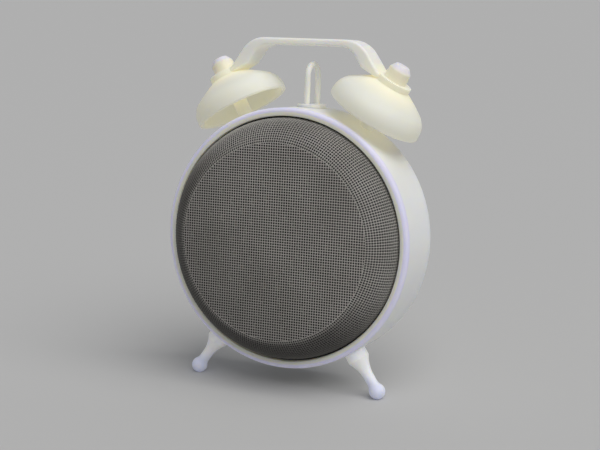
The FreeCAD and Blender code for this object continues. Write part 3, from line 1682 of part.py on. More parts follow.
make_case_shell()
make_cloth()
make_grille_shell()
make_front_frame()
make_speaker()
make_board()
make_battery_bay()
make_rear_cover()
make_keys()
make_slider()
make_wheel()
for word, side in SIDES:
    make_bell(word, side)
    make_bell_post(word, side)
    make_knob(word, side)
    make_front_leg(word, side)
keep("bell_nuts", grouped("BellNuts", [
    hex_nut("bell_nut_" + word, bell_point(side, nut_seat())) for word, side in SIDES]))
keep("leg_nuts", grouped("LegNuts", [
    hex_nut("leg_nut_" + word, leg_point(side, nut_seat())) for word, side in SIDES]))
make_handle()
make_striker()
make_rear_leg()
make_leads()


def stand_the_clock_up():
    """Lean the clock back, set its feet on the table plane at zero, and put the
    origin under the middle of its outline."""
    tilt = FreeCAD.Rotation(U_AXIS, 90 - float(s.lean_angle))
    height = -float(floor_level())
    first = FreeCAD.Placement(FreeCAD.Vector(0, 0, height), tilt)
    for part in parts:
        part.Placement = first.multiply(part.Placement)
    doc.recompute()
    boxes = [part.Shape.optimalBoundingBox(False) for part in parts]
    middle_x = (min(box.XMin for box in boxes) + max(box.XMax for box in boxes)) / 2
    middle_y = (min(box.YMin for box in boxes) + max(box.YMax for box in boxes)) / 2
    shift = FreeCAD.Placement(FreeCAD.Vector(-middle_x, -middle_y, 0), FreeCAD.Rotation())
    for part in parts:
        part.Placement = shift.multiply(part.Placement)
    doc.recompute()
    return shift.multiply(first)


stand = stand_the_clock_up()


def check_document():
    """Stop before anything is written if a feature or a piece isn't sound."""
    bad = [feature.Label for feature in doc.Objects
           if "Invalid" in feature.State or "Error" in feature.State]
    bad += [part.Label for part in parts
            if part.Shape.isNull() or not part.Shape.isValid() or not part.Shape.Solids]
    if bad:
        raise ValueError("not sound: " + ", ".join(bad))


check_document()
os.makedirs("parts", exist_ok=True)
for part in parts:
    part.Shape.exportStep("parts/%s.step" % part.Label)
print("%d pieces written" % len(parts))
print("stand", stand)
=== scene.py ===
import json
import math
import bpy
import numpy as np
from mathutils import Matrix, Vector


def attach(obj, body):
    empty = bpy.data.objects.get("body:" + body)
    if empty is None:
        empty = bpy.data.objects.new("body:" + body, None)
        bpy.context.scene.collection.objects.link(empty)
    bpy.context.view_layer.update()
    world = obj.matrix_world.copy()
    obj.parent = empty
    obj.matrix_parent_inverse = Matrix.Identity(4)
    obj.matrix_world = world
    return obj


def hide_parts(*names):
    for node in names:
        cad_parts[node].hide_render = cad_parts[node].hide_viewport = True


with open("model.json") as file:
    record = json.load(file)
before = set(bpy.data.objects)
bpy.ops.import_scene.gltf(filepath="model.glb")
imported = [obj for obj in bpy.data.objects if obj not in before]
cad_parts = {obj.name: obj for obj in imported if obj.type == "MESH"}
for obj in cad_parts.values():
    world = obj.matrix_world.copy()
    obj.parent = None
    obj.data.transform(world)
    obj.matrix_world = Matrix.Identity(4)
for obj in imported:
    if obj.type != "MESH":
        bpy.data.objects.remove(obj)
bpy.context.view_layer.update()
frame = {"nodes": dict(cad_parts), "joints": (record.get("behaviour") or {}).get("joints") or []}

# A twin bell talking clock whose front is a loudspeaker behind woven mesh cloth.
# Lengths are in metres, or in millimetres where a comment says so. Beside the row frame
# (X right, Y back, Z up) the script uses the drum's own frame: u right, v up along the
# drum's face, w out of the face, zero at the middle of the front rim.

MM = 0.001
nodes = frame["nodes"]
joints = {joint["name"]: joint for joint in frame["joints"]}

# The drum's frame, taken from the joint that slides along its axis.
W_AXIS = Vector(joints["diaphragm_slide"]["axis"]).normalized()
RIM_CENTRE = Vector(joints["diaphragm_slide"]["pos_m"])
U_AXIS = Vector((1, 0, 0))
V_AXIS = W_AXIS.cross(U_AXIS).normalized()
DRUM_AXES = (U_AXIS, V_AXIS, W_AXIS)


def add_object(name, data):
    thing = bpy.data.objects.new(name, data)
    bpy.context.scene.collection.objects.link(thing)
    return thing


def aim(thing, back):
    """Turn a camera or light to look along the opposite of the back direction."""
    thing.rotation_mode = "QUATERNION"
    thing.rotation_quaternion = back.to_track_quat("Z", "Y")


# Camera, solved from the photograph. Lens and sensor are in millimetres.

CAMERA_TURN = math.radians(24.53)
CAMERA_RISE = math.radians(12.33)
CAMERA_DISTANCE = 0.50205
CAMERA_TARGET = RIM_CENTRE + Vector((0.007517, 0, 0.006747))
CAMERA_LENS = 75
CAMERA_SENSOR = 36
CAMERA_CLIP = (0.01, 60)


def make_camera():
    back = Vector((math.sin(CAMERA_TURN) * math.cos(CAMERA_RISE),
                   -math.cos(CAMERA_TURN) * math.cos(CAMERA_RISE),
                   math.sin(CAMERA_RISE)))
    data = bpy.data.cameras.new("camera")
    data.lens = CAMERA_LENS
    data.sensor_width = CAMERA_SENSOR
    data.clip_start, data.clip_end = CAMERA_CLIP
    camera = add_object("camera", data)
    camera.location = CAMERA_TARGET + back * CAMERA_DISTANCE
    aim(camera, back)
    bpy.context.scene.camera = camera


# Node helpers

NOISE_WIDE = (0.3, 0.7)
NOISE_NARROW = (0.35, 0.65)


class Shader:
    """A material's node tree, with short ways to add the nodes used here."""

    def __init__(self, name):
        self.material = bpy.data.materials.new(name)
        self.material.use_nodes = True
        self.tree = self.material.node_tree
        self.tree.nodes.clear()
        self.output = self.add("ShaderNodeOutputMaterial")
        self.surface = self.add("ShaderNodeBsdfPrincipled")
        self.tree.links.new(self.surface.outputs[0], self.output.inputs["Surface"])
        self.place = self.add("ShaderNodeTexCoord").outputs["Object"]

    def add(self, kind, **settings):
        node = self.tree.nodes.new(kind)
        for key, value in settings.items():
            setattr(node, key, value)
        return node

    def put(self, socket, value):
        """Join an output to an input, or set the input's own value."""
        if isinstance(value, bpy.types.NodeSocket):
            self.tree.links.new(value, socket)
        else:
            socket.default_value = value

    def fill(self, node, values):
        """Give a node's inputs, by name or number, their values."""
        for key, value in values:
            self.put(node.inputs[key], value)

    def set(self, **values):
        """Set the surface's inputs by name, with underscores for spaces."""
        self.fill(self.surface, [(key.replace("_", " "), value) for key, value in values.items()])

    def math(self, operation, first, second=0.0, third=0.0):
        node = self.add("ShaderNodeMath", operation=operation)
        self.fill(node, enumerate((first, second, third)))
        return node.outputs[0]

    def product(self, *factors):
        result = factors[0]
        for factor in factors[1:]:
            result = self.math("MULTIPLY", result, factor)
        return result

    def vector(self, operation, first, second):
        """The output is a number for a distance or a dot product, else a vector."""
        node = self.add("ShaderNodeVectorMath", operation=operation)
        self.fill(node, enumerate((first, second)))
        return node.outputs["Value" if operation in ("DISTANCE", "DOT_PRODUCT") else "Vector"]

    def noise(self, scale, detail=2.0, roughness=0.5, place=None):
        node = self.add("ShaderNodeTexNoise")
        self.fill(node, (("Vector", place or self.place), ("Scale", scale),
                         ("Detail", detail), ("Roughness", roughness)))
        return node.outputs[0]

    def ramp(self, value, span, ends=(0.0, 1.0)):
        """Map the span smoothly to the two ends and hold them outside it."""
        node = self.add("ShaderNodeMapRange", interpolation_type="SMOOTHSTEP")
        self.fill(node, (("Value", value), ("From Min", span[0]), ("From Max", span[1]),
                         ("To Min", ends[0]), ("To Max", ends[1])))
        return node.outputs[0]

    def blend(self, share, first, second):
        """Mix two colours by a share from 0 to 1."""
        node = self.add("ShaderNodeMix", data_type="RGBA")
        self.fill(node, ((0, share), (6, first), (7, second)))
        return node.outputs[2]

    def bump(self, height, strength, distance):
        node = self.add("ShaderNodeBump")
        self.fill(node, (("Height", height), ("Strength", strength), ("Distance", distance)))
        return node.outputs[0]

    def drum_place(self):
        """The point's u, v and w in metres, as three outputs."""
        offset = self.vector("SUBTRACT", self.place, tuple(RIM_CENTRE))
        return [self.vector("DOT_PRODUCT", offset, tuple(axis)) for axis in DRUM_AXES]

    def drum_radius(self, u, v):
        """The distance from the drum's axis in metres."""
        return self.math("SQRT", self.math("ADD", self.product(u, u), self.product(v, v)))

    def near(self, point, reach):
        """1 within the first distance of a point, falling to 0 at the second."""
        distance = self.vector("DISTANCE", self.place, tuple(point))
        return self.ramp(distance, reach, (1.0, 0.0))


def rgb(red, green, blue):
    """A linear colour from the 0..255 values that a screen shows, by the sRGB curve."""
    channels = []
    for value in (red, green, blue):
        share = value / 255
        channels.append(share / 12.92 if share <= 0.04045 else ((share + 0.055) / 1.055) ** 2.4)
    return (channels[0], channels[1], channels[2], 1.0)


def dress(names, shader):
    """Give one material to the nodes named in a string, with spaces between them."""
    for name in names.split():
        mesh = nodes[name].data
        if not mesh.materials:
            mesh.materials.append(None)
        for index in range(len(mesh.materials)):
            mesh.materials[index] = shader.material


# Where the ivory plastic changes its tone, by painted light: a painted glow under the
# bells and on the rim's inner half, painted cool sky light on the rim's outer half and
# the knob tops, and painted shade on the ball feet. A bell's axis leans by BELL_TILT from
# the drum's v axis in the plane w = BELL_PLANE, and places on it are distances from the
# drum's axis; these are in millimetres. A reach is a distance of full share and one of
# none, and a span the two values between which a share goes from 0 to 1; in metres.

BELL_TILT = math.radians(30)
BELL_PLANE = -18.9
DRUM_UNDER_BELL = 54.0
HANDLE_FOOT = 72.0
KNOB_TIP = 84.0

UNDER_BELL_REACH = (0.008, 0.028)
HANDLE_FOOT_REACH = (0.003, 0.018)
KNOB_TIP_REACH = (0.004, 0.0065)
RIM_OUTER_RADII = (0.0513, 0.0519)
RIM_OUTER_DEPTHS = (-0.0034, -0.0018)
RIM_INNER_RADII = (0.0511, 0.0517)
RIM_INNER_DEPTHS = (-0.0016, -0.0008)
FOOT_HEIGHTS = (0.004, 0.012)

UNDER_BELL_SHARE = 0.8
KNOB_TIP_SHARE = 0.8
RIM_OUTER_SHARE = 0.95
RIM_INNER_SHARE = 0.8


def bell_point(side, distance):
    """A place on the left (-1) or right (1) bell's axis, in the row frame."""
    u = side * distance * math.sin(BELL_TILT)
    v = distance * math.cos(BELL_TILT)
    return RIM_CENTRE + (U_AXIS * u + V_AXIS * v + W_AXIS * BELL_PLANE) * MM


def near_bells(m, distance, reach, share):
    """High near one place on the axis of each bell."""
    left, right = (m.near(bell_point(side, distance), reach) for side in (-1, 1))
    return m.product(m.math("MAXIMUM", left, right), share)


def painted_glow_under_bells(m):
    """High on the drum under the two bells: a painted glow, in colour and emission, for the light
    that the bells let through.
    """
    return near_bells(m, DRUM_UNDER_BELL, UNDER_BELL_REACH, UNDER_BELL_SHARE)


def painted_sky_light_knob_tips(m):
    """High on the tops of the two knobs, where a lilac tint is painted cool sky light."""
    return near_bells(m, KNOB_TIP, KNOB_TIP_REACH, KNOB_TIP_SHARE)


def painted_sky_light_rim_outer(m):
    """High on the rounded outer half of the drum's front rim, none on its side; there the lilac
    tint is painted cool sky light.
    """
    u, v, w = m.drum_place()
    outward = m.ramp(m.drum_radius(u, v), RIM_OUTER_RADII)
    return m.product(outward, m.ramp(w, RIM_OUTER_DEPTHS), RIM_OUTER_SHARE)


def painted_glow_rim_inner(m):
    """High on the inner half of the drum's front rim, where a cream tint is a painted glow."""
    u, v, w = m.drum_place()
    inward = m.ramp(m.drum_radius(u, v), RIM_INNER_RADII, (1.0, 0.0))
    return m.product(inward, m.ramp(w, RIM_INNER_DEPTHS), RIM_INNER_SHARE)


def painted_shade_feet(m):
    """High on the three ball feet, where a darker lilac tint is painted cool shade."""
    height = m.vector("DOT_PRODUCT", m.place, (0, 0, 1))
    return m.ramp(height, FOOT_HEIGHTS, (1.0, 0.0))


# Ivory plastic

IVORY = rgb(244, 244, 241)
IVORY_WARM = rgb(238, 237, 230)
CREAM = rgb(227, 226, 220)
# The amber below is the colour of the bells' painted glow, an emission.
PAINTED_GLOW_AMBER = rgb(255, 244, 203)
# The lilac below is painted cool sky light on the rim's outer half.
PAINTED_SKY_LILAC = rgb(222, 220, 246)
# The glow tone and light below are a painted glow, in colour and emission, where handle, bell and
# knob meet.
PAINTED_GLOW_TONE = rgb(250, 244, 214)
PAINTED_GLOW_LIGHT = 0.08

DRIFT_SCALE = 28.0
DRIFT_SHARE = 0.35
GRAIN_SCALE = 2600.0
GRAIN_SHARE = 0.4
RIPPLE_SCALE = 160.0
RIPPLE_SHARE = 0.6
MOULDED_ROUGHNESS = (0.42, 0.56)
MOULDED_BUMP = (0.12, 0.00006)
SCATTER_WEIGHT = 0.8
SCATTER_RADIUS = (1.0, 0.86, 0.55)
PLASTIC_IOR = 1.46
PLASTIC_SPECULAR = 0.4


def moulded(name, light, warm, glow=0.85, depth=0.003, lift=0.02, through=None, tints=()):
    """Smooth, slightly translucent moulded plastic: a light tone that drifts a little
    towards a warm one, and a painted pale glow of strength glow, in colour and emission,
    where handle, bell and knob meet. depth is how far light scatters in it, in metres,
    lift the share of painted glow, an emission that stands for light that comes through
    the wall, and through that glow's colour. Each tint is a colour, a function that gives
    its share, and the share of painted glow (emission) there."""
    m = Shader(name)
    drift = m.ramp(m.noise(DRIFT_SCALE), NOISE_NARROW, (0.0, DRIFT_SHARE))
    base = m.blend(drift, light, warm)
    painted_glow = lift
    if glow:
        amount = near_bells(m, HANDLE_FOOT, HANDLE_FOOT_REACH, glow)
        base = m.blend(amount, base, PAINTED_GLOW_TONE)
        painted_glow = m.math("MULTIPLY_ADD", amount, PAINTED_GLOW_LIGHT, painted_glow)
    for colour, share, tint_painted_glow in tints:
        amount = share(m)
        base = m.blend(amount, base, colour)
        painted_glow = m.math("MULTIPLY_ADD", amount, tint_painted_glow, painted_glow)
    grain = m.noise(GRAIN_SCALE)
    height = m.math("MULTIPLY_ADD", m.noise(RIPPLE_SCALE), RIPPLE_SHARE,
                    m.product(grain, GRAIN_SHARE))
    m.set(Base_Color=base, Roughness=m.ramp(grain, NOISE_WIDE, MOULDED_ROUGHNESS),
          Normal=m.bump(height, *MOULDED_BUMP),
          Emission_Color=through or base, Emission_Strength=painted_glow,
          Subsurface_Weight=SCATTER_WEIGHT, Subsurface_Radius=SCATTER_RADIUS,
          Subsurface_Scale=depth, IOR=PLASTIC_IOR, Specular_IOR_Level=PLASTIC_SPECULAR)
    return m


def dress_plastics():
    # Each lift and each through colour below sets a painted glow, an emission.
    dress("bell_left bell_right bell_post_left bell_post_right",
          moulded("ivory_bells", rgb(214, 218, 218), rgb(215, 217, 208),
                  depth=0.005, lift=0.15, through=PAINTED_GLOW_AMBER))
    dress("handle", moulded("ivory_handle", IVORY, rgb(244, 239, 228), lift=0.04))
    # The knob tops' lilac tint is painted cool sky light.
    dress("bell_knob_left bell_knob_right",
          moulded("ivory_knobs", rgb(224, 224, 224), rgb(225, 223, 214),
                  tints=[(rgb(232, 230, 244), painted_sky_light_knob_tips, 0.0)]))
    # The drum's tints are painted light: a painted glow under the bells, painted cool sky light
    # on the rim's outer half and a painted glow on its inner half; glow=0.3 is a painted glow at
    # the handle's feet.
    dress("case_shell striker_collar",
          moulded("ivory_drum", IVORY, IVORY_WARM, glow=0.3,
                  tints=[(rgb(250, 244, 230), painted_glow_under_bells, 0.07),
                         (PAINTED_SKY_LILAC, painted_sky_light_rim_outer, 0.06),
                         (rgb(243, 240, 222), painted_glow_rim_inner, 0.0)]))
    dress("striker_wire",
          moulded("ivory_striker", rgb(240, 241, 236), CREAM, glow=0, depth=0.001, lift=0.08))
    # The ball feet's darker lilac tint is painted cool shade; lift is a painted glow.
    dress("front_leg_left front_leg_right rear_leg",
          moulded("ivory_legs", rgb(246, 247, 250), rgb(240, 242, 248), glow=0, lift=0.10,
                  tints=[(rgb(214, 218, 238), painted_shade_feet, 0.03)]))
    dress("rear_cover battery_door",
          moulded("ivory_cover", IVORY, IVORY_WARM, glow=0, depth=0.002))
    dress("alarm_key minute_key hour_key talk_key alarm_slider volume_wheel",
          moulded("grey_keys", rgb(200, 198, 190), rgb(190, 187, 178), glow=0, depth=0.001))
    dress("battery_tray",
          moulded("tray_plastic", rgb(214, 210, 198), rgb(205, 200, 186), glow=0, depth=0.001))


# Inner pieces. Each material mixes two near tones. A bump is its strength and its
# height in metres, a wear scale that of the noise that varies the roughness.

BLOTCH_SCALE = 60.0
PLASTIC_BUMP = (0.15, 0.00005)
METAL_BLOTCH_SCALE = 120.0
METAL_BUMP = (0.08, 0.00003)
EVEN_STRETCH = (3000, 3000, 3000)
BOARD_TRACKS = (("Scale", 160.0), ("Mortar Size", 0.06), ("Brick Width", 1.4),
                ("Row Height", 0.4), ("Mortar Smooth", 0.2))
BOARD_WEAR_SCALE = 300.0
BOARD_ROUGHNESS = (0.28, 0.4)
BOARD_BUMP = (0.4, 0.00004)
PAPER_FIBRE_SCALE = 1800.0
PAPER_ROUGHNESS = (0.75, 0.95)
PAPER_BUMP = (0.4, 0.0001)
WIRE_WEAR_SCALE = 500.0
WIRE_ROUGHNESS = (0.25, 0.4)
WIRE_BUMP = (0.6, 0.00008)
SLEEVE_BAND = (0.009, 0.0095)
SLEEVE_WEAR_SCALE = 200.0
SLEEVE_ROUGHNESS = (0.22, 0.34)


def plain_plastic(name, colour, other, scale=900.0, rough=(0.45, 0.65)):
    """Opaque moulded plastic with a fine grain."""
    m = Shader(name)
    grain = m.noise(scale, detail=3.0)
    m.set(Base_Color=m.blend(m.ramp(m.noise(BLOTCH_SCALE), NOISE_NARROW), colour, other),
          Roughness=m.ramp(grain, NOISE_WIDE, rough),
          Normal=m.bump(grain, *PLASTIC_BUMP))
    return m


def metal(name, colour, other, rough=(0.25, 0.42), stretch=(400, 400, 6000)):
    """Plated or bare metal with faint drawn lines."""
    m = Shader(name)
    lines = m.noise(1.0, roughness=0.6, place=m.vector("MULTIPLY", m.place, stretch))
    m.set(Base_Color=m.blend(m.ramp(m.noise(METAL_BLOTCH_SCALE), NOISE_WIDE), colour, other),
          Roughness=m.ramp(lines, NOISE_WIDE, rough),
          Normal=m.bump(lines, *METAL_BUMP), Metallic=1.0)
    return m


def circuit_board():
    """Green solder mask with copper tracks that run in steps under it."""
    m = Shader("board_mask")
    place = m.add("ShaderNodeCombineXYZ")
    m.fill(place, enumerate(m.drum_place()[:2]))
    tracks = m.add("ShaderNodeTexBrick")
    m.fill(tracks, (("Vector", place.outputs[0]),) + BOARD_TRACKS)
    line = tracks.outputs["Fac"]
    m.set(Base_Color=m.blend(line, rgb(24, 74, 46), rgb(44, 108, 66)),
          Roughness=m.ramp(m.noise(BOARD_WEAR_SCALE), NOISE_WIDE, BOARD_ROUGHNESS),
          Normal=m.bump(line, *BOARD_BUMP))
    return m


def paper(name, colour, other):
    """Pressed paper pulp or woven stiffened cloth."""
    m = Shader(name)
    fibre = m.noise(PAPER_FIBRE_SCALE, detail=4.0, roughness=0.7)
    m.set(Base_Color=m.blend(m.ramp(fibre, NOISE_NARROW), colour, other),
          Roughness=m.ramp(fibre, NOISE_WIDE, PAPER_ROUGHNESS),
          Normal=m.bump(fibre, *PAPER_BUMP))
    return m


def wound_wire(name, colour, other, pitch, along):
    """Enamelled wire wound closely round an axis."""
    m = Shader(name)
    position = m.vector("DOT_PRODUCT", m.place, tuple(along))
    turn = m.math("SINE", m.product(position, 2 * math.pi / pitch))
    # The darker tone in the grooves between turns is painted shade.
    m.set(Base_Color=m.blend(m.ramp(turn, (-1.0, 1.0)), other, colour),
          Roughness=m.ramp(m.noise(WIRE_WEAR_SCALE), NOISE_WIDE, WIRE_ROUGHNESS),
          Normal=m.bump(turn, *WIRE_BUMP), Metallic=0.8)
    return m


def cell_sleeve():
    """A plastic sleeve with a band of another tone at one end of each cell."""
    m = Shader("cell_sleeve")
    band = m.ramp(m.drum_place()[0], SLEEVE_BAND)
    m.set(Base_Color=m.blend(band, rgb(48, 52, 58), rgb(176, 140, 84)),
          Roughness=m.ramp(m.noise(SLEEVE_WEAR_SCALE), NOISE_WIDE, SLEEVE_ROUGHNESS),
          Metallic=0.5)
    return m


def dress_insides():
    dress("grille_shell front_frame striker_rocker",
          plain_plastic("charcoal_plastic", rgb(20, 20, 19), rgb(27, 26, 25)))
    dress("speaker_gasket", paper("gasket_foam", rgb(30, 30, 31), rgb(44, 44, 45)))
    dress("voice_chip tact_switches slide_switch volume_control capacitors",
          plain_plastic("component_black", rgb(38, 38, 40), rgb(52, 52, 55),
                        scale=1500.0, rough=(0.3, 0.5)))
    dress("main_board", circuit_board())
    dress("speaker_basket speaker_top_plate speaker_yoke battery_contacts battery_springs"
          " striker_pin", metal("plated_steel", rgb(190, 190, 192), rgb(172, 172, 175)))
    dress("speaker_screws board_screws case_screws tray_screws bell_nuts leg_nuts"
          " rear_leg_screw", metal("screw_steel", rgb(178, 178, 180), rgb(150, 150, 153),
                                   rough=(0.3, 0.5), stretch=EVEN_STRETCH))
    dress("speaker_magnet", plain_plastic("ferrite", rgb(58, 57, 58), rgb(72, 71, 71),
                                          scale=1200.0, rough=(0.6, 0.8)))
    dress("speaker_cone dust_cap", paper("cone_paper", rgb(38, 37, 37), rgb(56, 55, 54)))
    dress("speaker_surround speaker_spider",
          paper("treated_cloth", rgb(60, 56, 48), rgb(84, 78, 66)))
    dress("voice_coil", wound_wire("copper_coil", rgb(198, 116, 66), rgb(120, 62, 34),
                                   pitch=0.00022, along=W_AXIS))
    dress("striker_coil", wound_wire("copper_winding", rgb(196, 112, 62), rgb(118, 60, 32),
                                     pitch=0.0003, along=V_AXIS))
    dress("battery_cell_1 battery_cell_2 battery_cell_3", cell_sleeve())
    dress("speaker_leads battery_leads",
          plain_plastic("lead_sleeve", rgb(150, 34, 30), rgb(130, 28, 26),
                        scale=600.0, rough=(0.35, 0.5)))


# Speaker cloth. Its sizes are in millimetres. THREAD_RISE is how far a thread swings
# to each side of the cloth's middle as it goes over and under the ones that it crosses.

CLOTH_FLAT_RADIUS = 40.0
CLOTH_PROUD = 10.8
SHOULDER_RADIUS = 14.5
CLOTH_SIDE_RADIUS = 49.6
CLOTH_END = -1.7
CREASE_GAP = 0.15
THREAD_PITCH = 1.05
THREAD_WIDTH = 0.31
THREAD_DEPTH = 0.225
THREAD_RISE = 0.10
RADIAL_THREADS = 264
MIDDLE_DEPTH = THREAD_DEPTH + THREAD_RISE


class Weave:
    """Collects flat threads, each a run of rings of four corners."""

    def __init__(self):
        self.points = []
        self.faces = []
        self.count = 0

    def thread(self, path, across, outward, closed=False):
        """path, across and outward are arrays with one row for each ring."""
        half = THREAD_WIDTH / 2
        deep = THREAD_DEPTH / 2
        corners = np.stack([
            path + across * half,
            path + outward * deep,
            path - across * half,
            path - outward * deep,
        ], axis=1)
        rings = len(path)
        self.points.append(corners.reshape(-1, 3))
        index = np.arange(rings if closed else rings - 1)
        follow = (index + 1) % rings
        for corner in range(4):
            beside = (corner + 1) % 4
            self.faces.append(np.stack([
                self.count + index * 4 + corner,
                self.count + index * 4 + beside,
                self.count + follow * 4 + beside,
                self.count + follow * 4 + corner,
            ], axis=1))
        if not closed:
            first = self.count + np.array([[3, 2, 1, 0]])
            end = self.count + (rings - 1) * 4 + np.array([[0, 1, 2, 3]])
            self.faces += [first, end]
        self.count += rings * 4

    def build(self, name):
        points = np.concatenate(self.points)
        faces = np.concatenate(self.faces)
        axes = np.array([tuple(axis) for axis in DRUM_AXES])
        points = np.array(tuple(RIM_CENTRE)) + points @ axes * MM
        mesh = bpy.data.meshes.new(name)
        mesh.from_pydata(points.tolist(), [], faces.tolist())
        mesh.validate()
        mesh.polygons.foreach_set("use_smooth", [True] * len(mesh.polygons))
        return add_object(name, mesh)


def flat_threads(weave):
    """Two crossing sets of straight threads over the flat front."""
    reach = int(CLOTH_FLAT_RADIUS / THREAD_PITCH) + 1
    middle = CLOTH_PROUD - MIDDLE_DEPTH
    for direction in (0, 1):
        for line in range(-reach, reach + 1):
            offset = line * THREAD_PITCH
            room = (CLOTH_FLAT_RADIUS - CREASE_GAP) ** 2 - offset ** 2
            if room < THREAD_PITCH ** 2:
                continue
            half = math.sqrt(room)
            last = math.floor(half / THREAD_PITCH)
            crossings = np.arange(-last, last + 1) * THREAD_PITCH
            run = np.concatenate([[-half], crossings, [half]])
            phase = np.pi * (run / THREAD_PITCH + line + direction)
            height = middle + THREAD_RISE * np.cos(phase)
            path = np.zeros((len(run), 3))
            path[:, direction] = run
            path[:, 1 - direction] = offset
            path[:, 2] = height
            across = np.zeros_like(path)
            across[:, 1 - direction] = 1.0
            outward = np.zeros_like(path)
            outward[:, 2] = 1.0
            weave.thread(path, across, outward)


def shoulder_path(depth):
    """The arc down the shoulder, from the flat front to the rim, at a depth under
    the cloth's outer face: its centre's r and w, start angle, radius and length."""
    centre_r = CLOTH_SIDE_RADIUS - SHOULDER_RADIUS
    run = CLOTH_FLAT_RADIUS - centre_r
    centre_w = CLOTH_PROUD - math.sqrt(SHOULDER_RADIUS ** 2 - run ** 2)
    radius = SHOULDER_RADIUS - depth
    start = math.atan2(CLOTH_PROUD - centre_w, run)
    end = math.asin((CLOTH_END - centre_w) / radius)
    return centre_r, centre_w, start, radius, radius * (start - end)


def shoulder_point(distance):
    """r and w of the cloth's middle at a distance from the crease, and outward."""
    centre_r, centre_w, start, radius = shoulder_path(MIDDLE_DEPTH)[:4]
    angle = start - distance / radius
    out_r, out_w = np.cos(angle), np.sin(angle)
    return centre_r + radius * out_r, centre_w + radius * out_w, out_r, out_w


def shoulder_threads(weave):
    """Threads down the shoulder and rings round it."""
    length = shoulder_path(MIDDLE_DEPTH)[4]
    ring_count = int(round(length / THREAD_PITCH))
    pitch = length / ring_count
    turn = 2 * math.pi / RADIAL_THREADS
    down = np.arange(ring_count + 1) * pitch
    middle_r, middle_w, out_r, out_w = shoulder_point(down)
    for line in range(RADIAL_THREADS):
        lift = THREAD_RISE * np.cos(np.pi * (down / pitch + line))
        r = middle_r + lift * out_r
        w = middle_w + lift * out_w
        c, s = math.cos(line * turn), math.sin(line * turn)
        path = np.stack([r * c, r * s, w], axis=1)
        outward = np.stack([out_r * c, out_r * s, out_w], axis=1)
        across = np.tile([-s, c, 0.0], (len(down), 1))
        weave.thread(path, across, outward)
    angles = np.arange(RADIAL_THREADS) * turn
    c, s = np.cos(angles), np.sin(angles)
    for ring in range(ring_count + 1):
        middle_r, middle_w, out_r, out_w = shoulder_point(ring * pitch)
        lift = -THREAD_RISE * np.cos(np.pi * (angles / turn + ring))
        r = middle_r + lift * out_r
        path = np.stack([r * c, r * s, middle_w + lift * out_w], axis=1)
        outward = np.stack([out_r * c, out_r * s, np.full_like(c, out_w)], axis=1)
        across = np.stack([-out_w * c, -out_w * s, np.full_like(c, out_r)], axis=1)
        weave.thread(path, across, outward, closed=True)


# The cloth's lower left gets painted shade, a darker thread tone. SHADE_TOWARDS is the
# direction there on the drum's face, and the turn is how squarely a place of the shoulder
# lies towards it, from -1 to 1. The radii and the reach are in metres.

SHADE_TOWARDS = (-0.64, -0.77)
SHADE_TURN = (-0.45, 0.35)
SHADE_RADII = (0.0385, 0.0425)
SHADE_REACH = (-0.02, 0.04)
SHOULDER_SHADE = 0.85
FACE_SHADE = 0.4
THREAD_FIBRE_SCALE = 5200.0
THREAD_DRIFT_SCALE = 90.0
THREAD_DRIFT_SHARE = 0.3
THREAD_ROUGHNESS = (0.7, 0.9)
THREAD_BUMP = (0.5, 0.00006)


def painted_shade_share(m):
    """The share of painted shade: high on the shoulder's lower left, and growing towards there on
    the flat front.
    """
    u, v = m.drum_place()[:2]
    radius = m.drum_radius(u, v)
    along = m.math("MULTIPLY_ADD", u, SHADE_TOWARDS[0], m.product(v, SHADE_TOWARDS[1]))
    turned = m.ramp(m.math("DIVIDE", along, radius), SHADE_TURN)
    shoulder = m.product(turned, m.ramp(radius, SHADE_RADII), SHOULDER_SHADE)
    return m.math("MAXIMUM", shoulder, m.ramp(along, SHADE_REACH, (0.0, FACE_SHADE)))


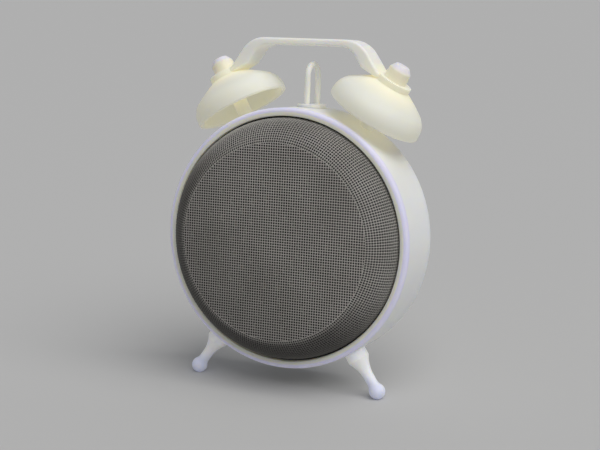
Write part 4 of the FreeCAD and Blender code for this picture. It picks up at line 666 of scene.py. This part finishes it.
def cloth_thread():
    """Spun grey thread: fine fibres, a soft sheen and a slight drift of tone."""
    m = Shader("cloth_thread")
    fibre = m.noise(THREAD_FIBRE_SCALE, detail=3.0, roughness=0.7)
    drift = m.ramp(m.noise(THREAD_DRIFT_SCALE), NOISE_WIDE, (0.0, THREAD_DRIFT_SHARE))
    tone = m.blend(m.ramp(fibre, NOISE_WIDE), rgb(178, 175, 170), rgb(210, 207, 201))
    tone = m.blend(drift, tone, rgb(160, 157, 150))
    # The dark tone mixed in on the lower left, rgb(92, 90, 86), is painted shade.
    m.set(Base_Color=m.blend(painted_shade_share(m), tone, rgb(92, 90, 86)),
          Roughness=m.ramp(fibre, NOISE_WIDE, THREAD_ROUGHNESS),
          Normal=m.bump(fibre, *THREAD_BUMP), Sheen_Weight=0.1, Sheen_Roughness=0.5)
    return m


def make_cloth():
    weave = Weave()
    flat_threads(weave)
    shoulder_threads(weave)
    cloth = weave.build("woven_grille_cloth")
    cloth.data.materials.append(cloth_thread().material)
    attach(cloth, "clock")
    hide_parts("grille_cloth")


# Floor and light. The floor lies a hair under the feet.

FLOOR_HALF = 14.0
FLOOR_DROP = 0.00005
FLOOR_TONE = rgb(195, 195, 195)
FLOOR_ROUGHNESS = 0.85
FLOOR_SPECULAR = 0.1
SUN_FROM = (0.46, -0.24, 0.85)
SUN_STRENGTH = 2.05
SUN_WIDTH = math.radians(60)
SUN_COLOUR = (1.0, 0.99, 0.965)
SKY_COLOUR = (0.93, 0.95, 1.0, 1.0)
SKY_STRENGTH = 0.26


def make_floor():
    half = FLOOR_HALF
    mesh = bpy.data.meshes.new("floor")
    mesh.from_pydata([(-half, -half, 0), (half, -half, 0), (half, half, 0), (-half, half, 0)],
                     [], [(0, 1, 2, 3)])
    floor = add_object("floor", mesh)
    floor.location.z = -FLOOR_DROP
    m = Shader("floor_paint")
    m.set(Base_Color=FLOOR_TONE, Roughness=FLOOR_ROUGHNESS, Specular_IOR_Level=FLOOR_SPECULAR)
    mesh.materials.append(m.material)


def make_light():
    """A wide soft light from the upper right and an even pale surrounding."""
    world = bpy.data.worlds.new("studio")
    world.use_nodes = True
    background = world.node_tree.nodes["Background"]
    background.inputs["Color"].default_value = SKY_COLOUR
    background.inputs["Strength"].default_value = SKY_STRENGTH
    bpy.context.scene.world = world
    data = bpy.data.lights.new("key", "SUN")
    data.energy = SUN_STRENGTH
    data.angle = SUN_WIDTH
    data.color = SUN_COLOUR
    aim(add_object("key", data), Vector(SUN_FROM))


def main():
    make_camera()
    make_light()
    make_floor()
    dress_plastics()
    dress_insides()
    make_cloth()
    bpy.context.scene.view_settings.view_transform = "Standard"


main()
